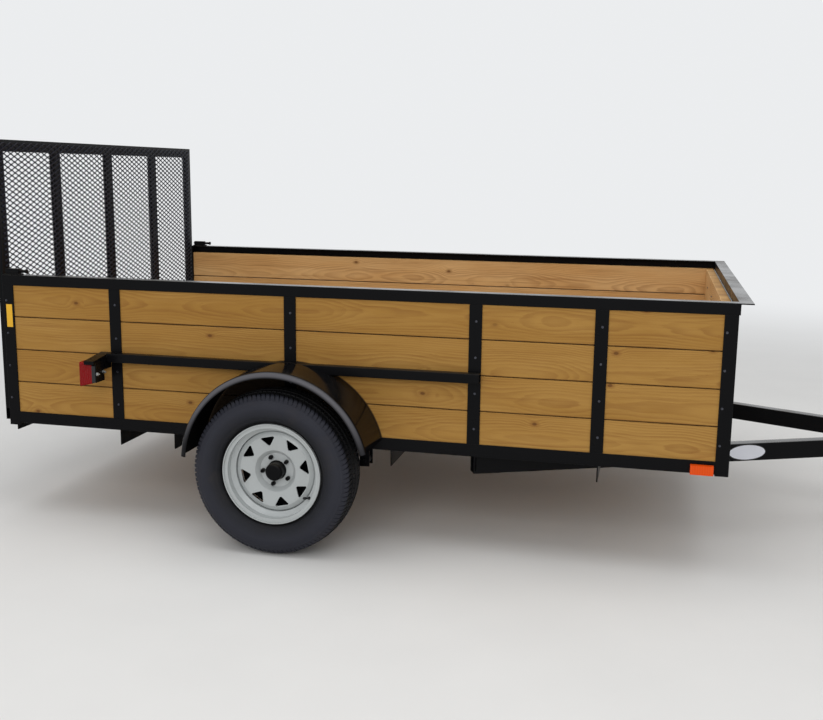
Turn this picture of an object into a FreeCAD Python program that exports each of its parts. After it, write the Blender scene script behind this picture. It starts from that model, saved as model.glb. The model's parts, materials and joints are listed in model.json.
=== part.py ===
"""Single-axle utility trailer with wooden sides, an angle-iron frame and a ramp gate.

Millimetres. +X points forward to the coupler, +Y to the left side and +Z up. The origin lies on the
ground, midway between the gate's rear face and the coupler's nose.
"""
import FreeCAD, Part
import math
import os
import re

import Sketcher

# The driving dimensions. Distances "back" are measured rearward from the front face of the bed, and
# distances "from_rear" forward from its rear face.
SIZES = {
    # bed and its angle-iron frame
    "bed_length": 3048.0,
    "bed_width": 1930.4,
    "rail_base": 413.0,
    "rail_top": 1065.0,
    "angle_leg": 50.8,
    "angle_wall": 4.8,
    "top_rail_drop": 44.5,
    "corner_foot_front": 5.5,
    "corner_foot_rear": 10.4,
    # uprights by the distance back to their front edge, and cross members a little behind them
    "post_fore_back": 467.0,
    "post_second_back": 949.0,
    "post_middle_back": 1711.0,
    "post_rear_from_rear": 556.0,
    "cross_fore_back": 1290.0,
    "cross_aft_from_rear": 808.0,
    "cross_setback": 16.0,
    "cross_depth": 70.0,
    # lumber
    "board_thick": 38.1,
    "board_width": 139.7,
    "board_gap": 3.3,
    "floor_gap": 6.0,
    # square tube on the outside of the posts
    "mid_rail_top": 753.0,
    "mid_rail_size": 38.1,
    "mid_rail_wall": 3.0,
    # drawbar of two tubes that meet ahead of the bed, below the frame by the drop
    "tongue_drop": 7.0,
    "tongue_depth": 76.2,
    "tongue_width": 50.8,
    "tongue_wall": 4.8,
    "tongue_angle": 25.0,
    "tongue_side_gap": 38.17,
    "tongue_apex_ahead": 1013.0,
    "tongue_tip_ahead": 985.0,
    "tongue_core_back": 130.0,
    "tongue_core_over": 20.0,
    # coupler
    "ball_ahead": 1090.0,
    "nose_radius": 38.0,
    "coupler_plate": 5.0,
    "coupler_skirt": 50.0,
    "coupler_length": 190.0,
    "coupler_head_inset": 4.0,
    "coupler_head_height": 22.0,
    "socket_radius": 25.8,
    "socket_depth": 24.0,
    "socket_drop": 20.0,
    "socket_dome_drop": 10.0,
    "latch_block_rear": 105.0,
    "latch_block_front": 45.0,
    "latch_block_half": 12.0,
    "latch_block_height": 22.0,
    "lever_rear": 165.0,
    "lever_front": 60.0,
    "lever_half": 9.0,
    "lever_thick": 6.0,
    # jack
    "jack_ahead": 790.0,
    "jack_tube_radius": 28.6,
    "jack_leg_radius": 25.3,
    "jack_clearance": 0.5,
    "jack_tube_length": 420.0,
    "jack_tube_roof": 20.0,
    "jack_foot_room": 10.0,
    "jack_plate_thick": 6.0,
    "jack_plate_rear": 60.0,
    "jack_plate_front": 70.0,
    "jack_plate_nose": 50.0,
    "jack_plate_margin": 20.0,
    "jack_travel": 254.0,
    "jack_overlap": 110.0,
    "jack_foot_width": 115.0,
    "jack_foot_plate": 6.0,
    "jack_cap_wall": 3.0,
    "jack_cap_height": 34.0,
    "crank_stem_radius": 9.0,
    "crank_stem_height": 26.0,
    "crank_arm_half": 14.0,
    "crank_arm_rise": 18.0,
    "crank_arm_thick": 8.0,
    "crank_grip_length": 80.0,
    "jack_crank_reach": 150.0,
    # wheels
    "axle_from_rear": 1299.0,
    "tyre_diameter": 668.0,
    "tyre_width": 205.0,
    "tyre_wall": 11.0,
    "tyre_tread": 14.0,
    "tread_flat": 80.0,
    "tread_width": 153.0,
    "tread_drop": 10.0,
    "high_wall_width": 186.0,
    "high_wall_drop": 29.0,
    "bulge_drop": 64.0,
    "low_wall_width": 174.0,
    "low_wall_drop": 98.0,
    "bead_rise": 18.0,
    "bead_width": 16.0,
    "wheel_gap": 22.5,
    "rim_seat_radius": 190.5,
    "rim_flange_radius": 205.0,
    "rim_width": 127.0,
    "rim_well_radius": 172.0,
    "rim_well_half": 28.0,
    "rim_ledge_half": 40.0,
    "rim_wall": 4.0,
    "rim_lip": 12.0,
    "bead_clearance": 0.3,
    "disc_thick": 5.0,
    "disc_rise": 24.0,
    "disc_shoulder_radius": 86.0,
    "disc_crown_radius": 146.0,
    "disc_crown_rise": 7.0,
    "disc_flange_half": 10.0,
    "disc_bend": 6.0,
    "disc_bend_drop": 2.0,
    "disc_bend_inner": 10.0,
    "disc_lean": 3.0,
    "disc_bite": 1.0,
    "hub_bore_radius": 40.0,
    "hub_radius": 36.0,
    "hub_cap_round": 12.0,
    "hub_cap_depth": 24.0,
    "hub_flange_radius": 72.0,
    "hub_flange_thick": 12.0,
    "hub_barrel_radius": 34.0,
    "hub_barrel_length": 70.0,
    "hub_reach": 50.0,
    "lug_circle_radius": 57.15,
    "stud_radius": 6.35,
    "stud_hole_radius": 7.5,
    "stud_reach": 6.0,
    "nut_radius": 9.0,
    "nut_height": 14.0,
    "nut_margin": 4.0,
    "nut_gap": 0.3,
    "window_inner": 110.0,
    "window_outer": 143.0,
    "window_half_width": 28.5,
    "window_corner": 6.0,
    "wheel_phase": 12.0,
    "lug_phase": 7.0,
    # axle and springs
    "axle_tube_radius": 30.2,
    "axle_end_gap": 78.0,
    "spindle_radius": 17.0,
    "spindle_clearance": 0.3,
    "spindle_reach": 20.0,
    "seat_half": 38.0,
    "seat_thick": 5.0,
    "seat_gap": 1.2,
    "seat_bite": 10.0,
    "spring_span": 660.0,
    "spring_camber": 66.0,
    "spring_width": 44.5,
    "leaf_thick": 7.0,
    "leaf_step": 0.22,
    "eye_radius": 16.0,
    "eye_bore_radius": 7.5,
    "hanger_plate": 5.0,
    "hanger_gap": 0.5,
    "hanger_half": 20.0,
    "hanger_drop": 22.0,
    "bolt_clearance": 0.3,
    "bolt_reach": 8.0,
    "u_bolt_radius": 5.5,
    "u_bolt_gap": 0.3,
    "u_bolt_reach": 22.0,
    "tie_plate_thick": 8.0,
    "tie_plate_margin_along": 20.0,
    "tie_plate_margin_across": 12.0,
    # fenders, on a circle whose centre lies ahead of the axle and above it
    "fender_radius": 392.0,
    "fender_ahead": 20.0,
    "fender_rise": 30.0,
    "fender_width": 241.0,
    "fender_lip": 25.0,
    "fender_sheet": 2.5,
    "fender_corner": 18.0,
    "fender_front_angle": 13.5,
    "fender_sweep": 162.5,
    # lamps
    "tail_light_inner": 42.0,
    "tail_light_width": 98.0,
    "tail_light_base": 627.0,
    "tail_light_height": 104.0,
    "tail_light_depth": 67.0,
    "tail_light_housing": 14.0,
    "tail_light_taper": 14.5,
    "tail_light_corner": 8.0,
    "lamp_arm_depth": 65.0,
    "hood_drop": 17.0,
    "hood_length": 45.0,
    "hood_skirt": 15.0,
    "hood_sheet": 3.0,
    "hood_gap": 1.5,
    "marker_back": 56.0,
    "marker_length": 85.0,
    "marker_height": 36.0,
    "marker_depth": 22.0,
    "marker_base": 413.0,
    # gate
    "gate_gap": 10.0,
    "gate_depth": 25.4,
    "gate_bar": 50.8,
    "gate_tube_wall": 2.1,
    "gate_side_gap": 25.2,
    "gate_foot_rise": 6.0,
    "gate_height": 1219.0,
    "gate_upright_pitch": 477.5,
    "mesh_inset": 6.0,
    "mesh_thick": 3.0,
    "mesh_strand": 12.0,
    "diamond_long": 200.0,
    "diamond_short": 100.0,
    "hinge_drop": 20.0,
    "hinge_spread": 700.0,
    "hinge_pin_radius": 8.0,
    "hinge_pin_reach": 4.0,
    "hinge_clearance": 0.3,
    "hinge_knuckle_radius": 13.0,
    "hinge_plate": 10.0,
    "hinge_side_gap": 1.0,
    "latch_set_in": 4.0,
    "latch_length": 75.0,
    "latch_base_half": 19.0,
    "latch_base_thick": 4.0,
    "latch_margin": 6.0,
    "latch_barrel_half": 11.0,
    "latch_barrel_height": 22.0,
    "latch_rod_radius": 6.5,
    "latch_rod_reach": 24.0,
    "latch_knob_radius": 9.0,
    "latch_knob_length": 8.0,
    # how far a cutting shape runs past what it cuts
    "over": 1.0,
}

# Places worked out from the driving dimensions, as sheet formulas.
PLACES = {
    "half_bed": "bed_width / 2",
    "half_skin": "half_bed - angle_wall",
    "half_inside": "half_skin - board_thick",
    "bed_front": "(bed_length + gate_gap + gate_depth - ball_ahead - nose_radius) / 2",
    "bed_rear": "bed_front - bed_length",
    "post_rear_back": "bed_length - post_rear_from_rear",
    "cross_aft_back": "bed_length - cross_aft_from_rear",
    "axle_back": "bed_length - axle_from_rear",
    "floor_base": "rail_base + angle_wall",
    "floor_top": "floor_base + board_thick",
    "rail_crown": "rail_base + angle_leg",
    "top_rail_foot": "rail_top - top_rail_drop",
    "cross_foot": "floor_base - cross_depth",
    "board_pitch": "board_width + board_gap",
    "axle_x": "bed_front - axle_back",
    "axle_z": "tyre_diameter / 2",
    "wheel_y": "half_bed + wheel_gap + tyre_width / 2",
    "tongue_top": "rail_base - tongue_drop",
    "tongue_base": "tongue_top - tongue_depth",
    "tongue_apex": "bed_front + tongue_apex_ahead",
    "tongue_rear_back": "(half_bed - tongue_side_gap) / tan(tongue_angle) - tongue_apex_ahead",
    "ball_x": "bed_front + ball_ahead",
    "jack_x": "bed_front + jack_ahead",
    "jack_tube_foot": "jack_travel + jack_foot_plate + jack_foot_room",
    "mid_rail_foot": "mid_rail_top - mid_rail_size",
    "fender_x": "axle_x + fender_ahead",
    "fender_z": "axle_z + fender_rise",
    "gate_front": "bed_rear - gate_gap",
    "gate_rear": "gate_front - gate_depth",
    "gate_width": "bed_width - 2 * gate_side_gap",
    "gate_foot": "rail_base + gate_foot_rise",
    "gate_top": "gate_foot + gate_height",
    "hinge_x": "gate_front - gate_depth / 2",
    "hinge_z": "gate_foot - hinge_drop",
    "spring_y": "half_bed - angle_leg / 2",
    "spring_top": "axle_z - axle_tube_radius - seat_thick",
    "eye_z": "spring_top - leaf_thick / 2 + spring_camber",
}

SIDES = {"right": -1, "left": 1}
POSTS = ("post_fore_back", "post_second_back", "post_middle_back", "post_rear_back")
CROSS_MEMBERS = ("post_fore_back", "post_second_back", "cross_fore_back", "cross_aft_back", "post_rear_back")
WINDOWS = 8
LUGS = 5
LEAVES = 4
TYRE_STEPS = 72

doc = FreeCAD.newDocument("UtilityTrailer")
nodes = {}


def fill_sheet(name, cells):
    """Write names and contents down two columns of a sheet, with each name as its cell's alias."""
    sheet = doc.addObject("Spreadsheet::Sheet", name)
    for row, (alias, content) in enumerate(cells.items(), start=1):
        sheet.set(f"A{row}", alias)
        sheet.set(f"B{row}", content)
        sheet.setAlias(f"B{row}", alias)
    return sheet


def linked(formula, inside=""):
    """Name the sheet that each size or place in a formula comes from."""
    def owner(match):
        word = match.group()
        if word in SIZES:
            return "Sizes." + word
        if word in PLACES and inside != "Places":
            return "Places." + word
        return word
    return re.sub(r"[a-z_]+", owner, str(formula))


fill_sheet("Sizes", {alias: str(value) for alias, value in SIZES.items()})
doc.recompute()
fill_sheet("Places", {alias: "=" + linked(formula, "Places") for alias, formula in PLACES.items()})
desk = doc.addObject("Spreadsheet::Sheet", "Desk")
doc.recompute()


def number(formula):
    """Work a formula out as a plain number, for shapes that are not bound cell by cell."""
    desk.set("A1", "=" + linked(formula))
    desk.recompute()
    return float(desk.get("A1"))


def add(kind, name):
    """Add a document object with its own name."""
    return doc.addObject(kind, name)


def bind(thing, formulas):
    """Bind properties to formulas of the sheets."""
    for name, formula in formulas.items():
        thing.setExpression(name, linked(formula))


def place(thing, x="0", y="0", z="0"):
    """Bind an object's place."""
    bind(thing, {"Placement.Base.x": x, "Placement.Base.y": y, "Placement.Base.z": z})


def box(name, x, y, z):
    """A box between a low and a high formula on each axis."""
    solid = add("Part::Box", name)
    spans = {"Length": x, "Width": y, "Height": z}
    bind(solid, {size: f"({high}) - ({low})" for size, (low, high) in spans.items()})
    place(solid, x[0], y[0], z[0])
    return solid


def cylinder(name, radius, length, axis, x, y, z):
    """A cylinder that starts at a place and runs along +X, +Y or +Z."""
    solid = add("Part::Cylinder", name)
    turns = {"X": ((0, 1, 0), 90), "Y": ((1, 0, 0), -90), "Z": ((0, 0, 1), 0)}
    direction, angle = turns[axis]
    solid.Placement.Rotation = FreeCAD.Rotation(FreeCAD.Vector(*direction), angle)
    bind(solid, {"Radius": radius, "Height": length})
    place(solid, x, y, z)
    return solid


def fuse(name, pieces):
    """Join solids into one."""
    joined = add("Part::MultiFuse", name)
    joined.Shapes = pieces
    return joined


def cut(name, base, tools):
    """Take one solid, or several, out of another."""
    result = add("Part::Cut", name)
    result.Base = base
    result.Tool = tools[0] if len(tools) == 1 else fuse(name + "_tools", tools)
    return result


def group(name, pieces):
    """Keep separate solids together under one name."""
    if len(pieces) == 1:
        return pieces[0]
    together = add("Part::Compound", name + "_set")
    together.Links = pieces
    return together


def node(name, thing):
    """Give a finished sub-part its label."""
    thing.Label = name
    nodes[name] = thing
    return thing


def span(side, low, high):
    """The low and high formulas of a distance from the centre plane, on one side."""
    if side > 0:
        return (low, high)
    return (f"0 - ({high})", f"0 - ({low})")


def origin_plane(body, role):
    """One of the planes or axes through a body's origin."""
    return next(item for item in body.Origin.OriginFeatures if item.Role == role)


def draw(body, name, plane, corners, flip=1):
    """Sketch a closed outline on one of the body's own planes.

    A corner is a pair of formulas. With a third, the stretch to the next corner is an arc of that
    radius, whose centre is on the left of the way if the fourth is 1 and on the right if it is -1.
    """
    sketch = body.newObject("Sketcher::SketchObject", name)
    sketch.AttachmentSupport = [(origin_plane(body, plane), "")]
    sketch.MapMode = "FlatFace"
    signed = [(c[0], c[1] if flip > 0 else f"0 - ({c[1]})") for c in corners]
    points = [FreeCAD.Vector(number(u), number(v), 0) for u, v in signed]
    starts = []
    for index, corner in enumerate(corners):
        a = points[index]
        b = points[(index + 1) % len(points)]
        if len(corner) == 2:
            sketch.addGeometry(Part.LineSegment(a, b), False)
            starts.append((1, 2))
            continue
        radius = number(corner[2])
        side = corner[3] * flip
        chord = b - a
        normal = FreeCAD.Vector(-chord.y, chord.x, 0).normalize()
        rise = math.sqrt(max(radius ** 2 - (chord.Length / 2) ** 2, 0))
        centre = (a + b) * 0.5 + normal * (rise * side)
        first, last = (a, b) if side > 0 else (b, a)
        ends = [math.atan2(p.y - centre.y, p.x - centre.x) for p in (first, last)]
        circle = Part.Circle(centre, FreeCAD.Vector(0, 0, 1), radius)
        sketch.addGeometry(Part.ArcOfCircle(circle, ends[0], ends[1]), False)
        starts.append((1, 2) if side > 0 else (2, 1))
    count = len(points)
    for index in range(count):
        following = (index + 1) % count
        sketch.addConstraint(Sketcher.Constraint("Coincident", index, starts[index][1],
                                                 following, starts[following][0]))
    for index, (u, v) in enumerate(signed):
        vertex = starts[index][0]
        for kind, formula, size, axis in (("DistanceX", u, points[index].x, -2),
                                          ("DistanceY", v, points[index].y, -1)):
            if formula in ("0", "0 - (0)"):
                sketch.addConstraint(Sketcher.Constraint("PointOnObject", index, vertex, axis))
                continue
            rule = sketch.addConstraint(Sketcher.Constraint(kind, -1, 1, index, vertex, size))
            sketch.setExpression(f"Constraints[{rule}]", linked(formula))
        if len(corners[index]) > 2:
            radius = corners[index][2]
            rule = sketch.addConstraint(Sketcher.Constraint("Radius", index, number(radius)))
            sketch.setExpression(f"Constraints[{rule}]", linked(radius))
    return sketch


def draw_circle(body, name, plane, u, v, radius):
    """Sketch one circle on one of the body's own planes."""
    sketch = body.newObject("Sketcher::SketchObject", name)
    sketch.AttachmentSupport = [(origin_plane(body, plane), "")]
    sketch.MapMode = "FlatFace"
    centre = FreeCAD.Vector(number(u), number(v), 0)
    sketch.addGeometry(Part.Circle(centre, FreeCAD.Vector(0, 0, 1), number(radius)), False)
    rules = (("DistanceX", u, (-1, 1, 0, 3, centre.x)), ("DistanceY", v, (-1, 1, 0, 3, centre.y)),
             ("Radius", radius, (0, number(radius))))
    for kind, formula, ends in rules:
        rule = sketch.addConstraint(Sketcher.Constraint(kind, *ends))
        sketch.setExpression(f"Constraints[{rule}]", linked(formula))
    return sketch


def pad(body, sketch, length, reverse=False):
    """Raise a sketch to a solid."""
    feature = body.newObject("PartDesign::Pad", sketch.Name + "_pad")
    feature.Profile = sketch
    feature.Reversed = reverse
    bind(feature, {"Length": length})
    return feature


def pocket(body, sketch, reverse):
    """Cut a sketch right through its body, on one side of the sketch."""
    before = body.Shape.Volume
    feature = body.newObject("PartDesign::Pocket", sketch.Name + "_pocket")
    feature.Profile = sketch
    feature.Type = "ThroughAll"
    feature.Reversed = reverse
    doc.recompute()
    if body.Shape.Volume >= before:
        raise RuntimeError(f"{feature.Name} cuts nothing")
    return feature


def revolve(body, sketch, angle="360", reverse=False):
    """Turn a sketch about its own vertical axis."""
    feature = body.newObject("PartDesign::Revolution", sketch.Name + "_turn")
    feature.Profile = sketch
    feature.ReferenceAxis = (sketch, ["V_Axis"])
    feature.Reversed = reverse
    bind(feature, {"Angle": angle})
    return feature


def repeat_round(body, feature, count):
    """Repeat a feature evenly about the body's own Y axis."""
    pattern = body.newObject("PartDesign::PolarPattern", feature.Name + "_ring")
    pattern.Originals = [feature]
    pattern.Axis = (origin_plane(body, "Y_Axis"), [""])
    pattern.Angle = 360
    pattern.Occurrences = count
    body.Tip = pattern
    doc.recompute()
    return pattern


def prism(name, plane, corners, length, x="0", y="0", z="0", reverse=False, flip=1):
    """A body made by raising one outline."""
    body = add("PartDesign::Body", name)
    sketch = draw(body, name + "_outline", plane, corners, flip)
    pad(body, sketch, length, reverse)
    place(body, x, y, z)
    return body


def angle_section(u, v, u_way, v_way, u_leg="angle_leg", v_leg="angle_leg"):
    """Corners of an angle iron's section, from its heel at (u, v) with legs the given ways."""
    steps = (("0", "0"), (u_leg, "0"), (u_leg, "angle_wall"), ("angle_wall", "angle_wall"),
             ("angle_wall", v_leg), ("0", v_leg))
    return [(f"{u} + {u_way} * {a}", f"{v} + {v_way} * {b}") for a, b in steps]


def tongue_outline(inset="0"):
    """Plan of the right drawbar tube, from its square rear end to where the two tubes meet."""
    slope = "tan(tongue_angle)"
    heel_x = "(bed_front - tongue_rear_back)"
    heel_y = f"(({heel_x} - tongue_apex) * {slope})"
    width = "tongue_width"
    inner_apex = f"tongue_apex - {width} / sin(tongue_angle)"
    if inset == "0":
        tip = "(bed_front + tongue_tip_ahead)"
        return [(heel_x, heel_y), (tip, f"({tip} - tongue_apex) * {slope}"), (tip, "0"), (inner_apex, "0"),
                (f"{heel_x} - {width} * sin(tongue_angle)", f"{heel_y} + {width} * cos(tongue_angle)")]
    reach = "(bed_front + tongue_tip_ahead - tongue_core_back)"
    drop = f"{inset} / cos(tongue_angle)"
    back_x = f"({heel_x} - {inset} * sin(tongue_angle) - 2 * tongue_core_over)"
    low_x = f"({heel_x} - {inset} * sin(tongue_angle) - tongue_core_over)"
    outer = f"({{0}} - tongue_apex) * {slope} + {drop}"
    inner = f"({{0}} - tongue_apex) * {slope} + ({width} - {inset}) / cos(tongue_angle)"
    return [(low_x, outer.format(low_x)), (reach, outer.format(reach)),
            (reach, inner.format(reach)), (back_x, inner.format(back_x))]


def pad_outline():
    """Plan of the pad between the front sill and the right drawbar tube."""
    edges = []
    for x in ("(bed_front - angle_leg)", "bed_front"):
        outer = f"(({x} - tongue_apex) * tan(tongue_angle))"
        edges.append([(x, outer), (x, f"{outer} + tongue_width / cos(tongue_angle)")])
    (rear_outer, rear_inner), (front_outer, front_inner) = edges
    return [rear_outer, front_outer, front_inner, rear_inner]


def make_tongue():
    """The two drawbar tubes. Returns solid bars of their outline, to cope what they pass through."""
    bars = []
    for side, way in SIDES.items():
        flip = -way
        bar = prism("tongue_bar_" + side, "XY_Plane", tongue_outline(), "tongue_depth", z="tongue_base",
                    flip=flip)
        core = prism("tongue_core_" + side, "XY_Plane", tongue_outline("tongue_wall"),
                     "tongue_depth - 2 * tongue_wall", z="tongue_base + tongue_wall", flip=flip)
        node("tongue_" + side, cut("tongue_tube_" + side, bar, [core]))
        bars.append(bar)
    return bars


def make_rails(side, way):
    """Bottom, middle and top rail of one side."""
    edge = f"({way} * half_bed)"
    low = prism("bottom_iron_" + side, "YZ_Plane", angle_section(edge, "rail_base", -way, 1),
                "bed_length - 2 * angle_leg", x="bed_rear + angle_leg")
    node("rail_bottom_" + side, low)
    top = prism("top_iron_" + side, "YZ_Plane",
                angle_section(edge, "rail_top", -way, -1, v_leg="top_rail_drop"), "bed_length", x="bed_rear")
    node("rail_top_" + side, top)
    along = ("bed_front - post_rear_back - angle_leg", "bed_front - post_second_back")
    out = span(way, "half_bed", "half_bed + mid_rail_size")
    up = ("mid_rail_foot", "mid_rail_top")
    wall = "mid_rail_wall"
    tube = box("mid_tube_" + side, along, out, up)
    hollow = box("mid_hollow_" + side, (along[0] + " - over", along[1] + " + over"),
                 (f"{out[0]} + {wall}", f"{out[1]} - {wall}"), (f"{up[0]} + {wall}", f"{up[1]} - {wall}"))
    node("rail_middle_" + side, cut("mid_rail_" + side, tube, [hollow]))


def make_posts(side, way):
    """Flat-faced uprights between the bottom and top rail of one side."""
    skin = span(way, "half_skin", "half_bed")
    posts = []
    for name in POSTS:
        posts.append(box(f"{name}_{side}", (f"bed_front - {name} - angle_leg", f"bed_front - {name}"), skin,
                         ("rail_crown", "top_rail_foot")))
    node("posts_" + side, group("posts_" + side, posts))


def make_corner_posts():
    """Angle-iron corner posts, with the front ones carried up behind the front rail."""
    for end, x, x_way, foot in (("front", "bed_front", -1, "rail_base - corner_foot_front"),
                                ("rear", "bed_rear", 1, "rail_base - corner_foot_rear")):
        posts = []
        for side, way in SIDES.items():
            post = prism(f"corner_{end}_{side}", "XY_Plane",
                         angle_section(x, f"({way} * half_bed)", x_way, -way),
                         f"top_rail_foot - ({foot})", z=foot)
            face = (x, f"{x} + angle_wall") if x_way > 0 else (f"{x} - angle_wall", x)
            head = box(f"corner_head_{end}_{side}", face,
                       span(way, "half_bed - angle_leg", "half_skin"),
                       ("top_rail_foot", "rail_top - angle_wall"))
            posts.append(fuse(f"corner_post_{end}_{side}", [post, head]))
        node("corner_posts_" + end, group("corner_posts_" + end, posts))


def make_cross_frame(bars):
    """Front rail, sills and cross members, coped round the drawbar.

    The front sill stands on the drawbar by a pad over each tube.
    """
    between = "2 * (half_bed - angle_leg)"
    node("rail_top_front",
         prism("front_iron", "XZ_Plane", angle_section("bed_front", "rail_top", 1, -1, v_leg="top_rail_drop"),
               "bed_width", y="0 - half_bed", reverse=True))
    sill = prism("front_sill_iron", "XZ_Plane", angle_section("bed_front", "rail_base", -1, 1), between,
                 y="angle_leg - half_bed", reverse=True)
    pads = [prism("sill_pad_" + side, "XY_Plane", pad_outline(), "tongue_drop", z="tongue_top", flip=-way)
            for side, way in SIDES.items()]
    node("sill_front", fuse("front_sill_form", [sill] + pads))
    node("sill_rear",
         prism("rear_sill_iron", "XZ_Plane", angle_section("bed_rear", "floor_base", 1, -1), between,
               y="angle_leg - half_bed", reverse=True))
    members = []
    for name in CROSS_MEMBERS:
        front = f"(bed_front - {name} - cross_setback)"
        top = box("cross_top_" + name, (f"{front} - angle_leg", front),
                  ("angle_leg - half_bed", "half_bed - angle_leg"), ("rail_base", "floor_base"))
        web = box("cross_web_" + name, (f"{front} - angle_wall", front), ("0 - half_bed", "half_bed"),
                  ("cross_foot", "rail_base"))
        members.append(fuse("cross_iron_" + name, [top, web]))
    node("cross_members", cut("cross_members_coped", group("cross_members", members), bars))


def make_boards():
    """Side and front boards in rows, and the floor planks.

    The planks carry the side boards. They end behind the front boards, whose lowest one is wider and
    stands on the sill.
    """
    rows = int((number("rail_top - angle_wall - floor_top") + SIZES["board_gap"]) // number("board_pitch"))
    levels = [(f"floor_top + {row} * board_pitch", f"floor_top + {row} * board_pitch + board_width")
              for row in range(rows)]
    along = ("bed_rear + angle_wall", "bed_front - angle_wall")
    for side, way in SIDES.items():
        boards = [box(f"board_{side}_{row}", along, span(way, "half_inside", "half_skin"), level)
                  for row, level in enumerate(levels)]
        node("boards_" + side, group("boards_" + side, boards))
    thick = ("bed_front - angle_wall - board_thick", "bed_front - angle_wall")
    across = ("0 - half_inside", "half_inside")
    levels[0] = ("floor_base", levels[0][1])
    boards = [box(f"board_front_{row}", thick, across, level) for row, level in enumerate(levels)]
    node("boards_front", group("boards_front", boards))
    pitch = "(board_width + floor_gap)"
    count = int((number("2 * half_skin") + SIZES["floor_gap"]) // number(pitch))
    first = f"(0 - ({count} * board_width + {count - 1} * floor_gap) / 2)"
    planks = []
    along = (along[0], f"{thick[0]} - board_gap")
    for index in range(count):
        low = f"{first} + {index} * {pitch}"
        planks.append(box(f"plank_{index}", along, (low, f"{low} + board_width"),
                          ("floor_base", "floor_top")))
    node("floor_planks", group("floor_planks", planks))


def make_coupler():
    """Pressed coupler over the drawbar's tip, with a blind socket for the ball."""
    plate = "coupler_plate"
    slope = "tan(tongue_angle)"
    rear = "(ball_x - coupler_length)"
    neck = f"(tongue_apex - (nose_radius - {plate}) / {slope})"
    half_rear = f"((tongue_apex - {rear}) * {slope} + {plate})"
    outline = [(rear, f"0 - {half_rear}"), (neck, "0 - nose_radius"),
               ("ball_x", "0 - nose_radius", "nose_radius", 1),
               ("ball_x + nose_radius", "0", "nose_radius", 1), ("ball_x", "nose_radius"), (neck, "nose_radius"), (rear, half_rear)]
    shell = prism("coupler_shell", "XY_Plane", outline, f"coupler_skirt + {plate}",
                  z="tongue_top - coupler_skirt")
    inner = [(f"{rear} - over", f"0 - ((tongue_apex - {rear} + over) * {slope})"), ("tongue_apex", "0"),
             (f"{rear} - over", f"(tongue_apex - {rear} + over) * {slope}")]
    throat = prism("coupler_throat", "XY_Plane", inner, "coupler_skirt + over",
                   z="tongue_top - coupler_skirt - over")
    head = cylinder("coupler_head", "nose_radius - coupler_head_inset", "coupler_head_height", "Z", "ball_x",
                    "0", f"tongue_top + {plate}")
    socket = cylinder("coupler_socket", "socket_radius", "socket_depth + coupler_skirt - socket_drop", "Z",
                      "ball_x", "0", "tongue_top - coupler_skirt")
    dome = add("Part::Sphere", "socket_dome")
    bind(dome, {"Radius": "socket_radius"})
    place(dome, "ball_x", "0", "tongue_top - socket_drop + socket_depth - socket_dome_drop")
    body = fuse("coupler_solid", [shell, head])
    node("coupler", cut("coupler_form", body, [throat, socket, dome]))
    rise = f"tongue_top + {plate}"
    crest = f"{rise} + latch_block_height"
    block = box("latch_block", ("ball_x - latch_block_rear", "ball_x - latch_block_front"),
                ("0 - latch_block_half", "latch_block_half"), (rise, crest))
    lever = box("latch_lever", ("ball_x - lever_rear", "ball_x - lever_front"),
                ("0 - lever_half", "lever_half"), (crest, f"{crest} + lever_thick"))
    node("coupler_latch", fuse("coupler_latch_form", [block, lever]))


def make_jack():
    """A-frame jack: outer tube on its plate, crank head and handle, and the sliding leg with its foot."""
    here = ("jack_x", "0")
    bore = "jack_leg_radius + jack_clearance"
    tube = cylinder("jack_outer", "jack_tube_radius", "jack_tube_length", "Z", *here, "jack_tube_foot")
    width = "(tongue_apex - jack_x) * tan(tongue_angle)"
    plate = prism("jack_plate", "XY_Plane",
                  [("jack_x - jack_plate_rear", f"0 - {width} - jack_plate_margin"),
                   ("jack_x + jack_plate_front", "0 - jack_plate_nose"),
                   ("jack_x + jack_plate_front", "jack_plate_nose"),
                   ("jack_x - jack_plate_rear", f"{width} + jack_plate_margin")], "jack_plate_thick",
                  z="tongue_top")
    hole = cylinder("jack_hole", bore, "jack_tube_length - jack_tube_roof", "Z", *here,
                    "jack_tube_foot - over")
    node("jack_tube", cut("jack_tube_form", fuse("jack_tube_solid", [tube, plate]), [hole]))
    top = "(jack_tube_foot + jack_tube_length)"
    crest = f"({top} + jack_cap_height)"
    arm_foot = f"({crest} + crank_arm_rise)"
    cap = cylinder("crank_cap", "jack_tube_radius + jack_cap_wall", "jack_cap_height", "Z", *here, top)
    stem = cylinder("crank_stem", "crank_stem_radius", "crank_stem_height", "Z", *here, crest)
    arm = box("crank_arm", ("jack_x - crank_arm_half", "jack_x + crank_arm_half"),
              ("0 - crank_arm_half", "jack_crank_reach + crank_arm_half"),
              (arm_foot, f"{arm_foot} + crank_arm_thick"))
    grip = cylinder("crank_grip", "crank_arm_half", "crank_grip_length", "Z", "jack_x", "jack_crank_reach",
                    f"{arm_foot} + crank_arm_thick")
    node("jack_crank", fuse("jack_crank_form", [cap, stem, arm, grip]))
    leg = cylinder("jack_inner", "jack_leg_radius", "jack_tube_foot + jack_overlap - jack_foot_plate", "Z",
                   *here, "jack_foot_plate")
    half = "jack_foot_width / 2"
    foot = box("jack_foot", (f"jack_x - {half}", f"jack_x + {half}"), (f"0 - {half}", half),
               ("0", "jack_foot_plate"))
    node("jack_leg", fuse("jack_leg_form", [leg, foot]))


def wheel_place(body, way):
    """Set a wheel piece on its axle with the outboard side of its drawing facing out."""
    turn = FreeCAD.Rotation(FreeCAD.Vector(0, 1, 0), number("wheel_phase"))
    if way < 0:
        turn = FreeCAD.Rotation(FreeCAD.Vector(0, 0, 1), 180) * turn
    body.Placement.Rotation = turn
    place(body, "axle_x", f"{way} * wheel_y", "axle_z")


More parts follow.
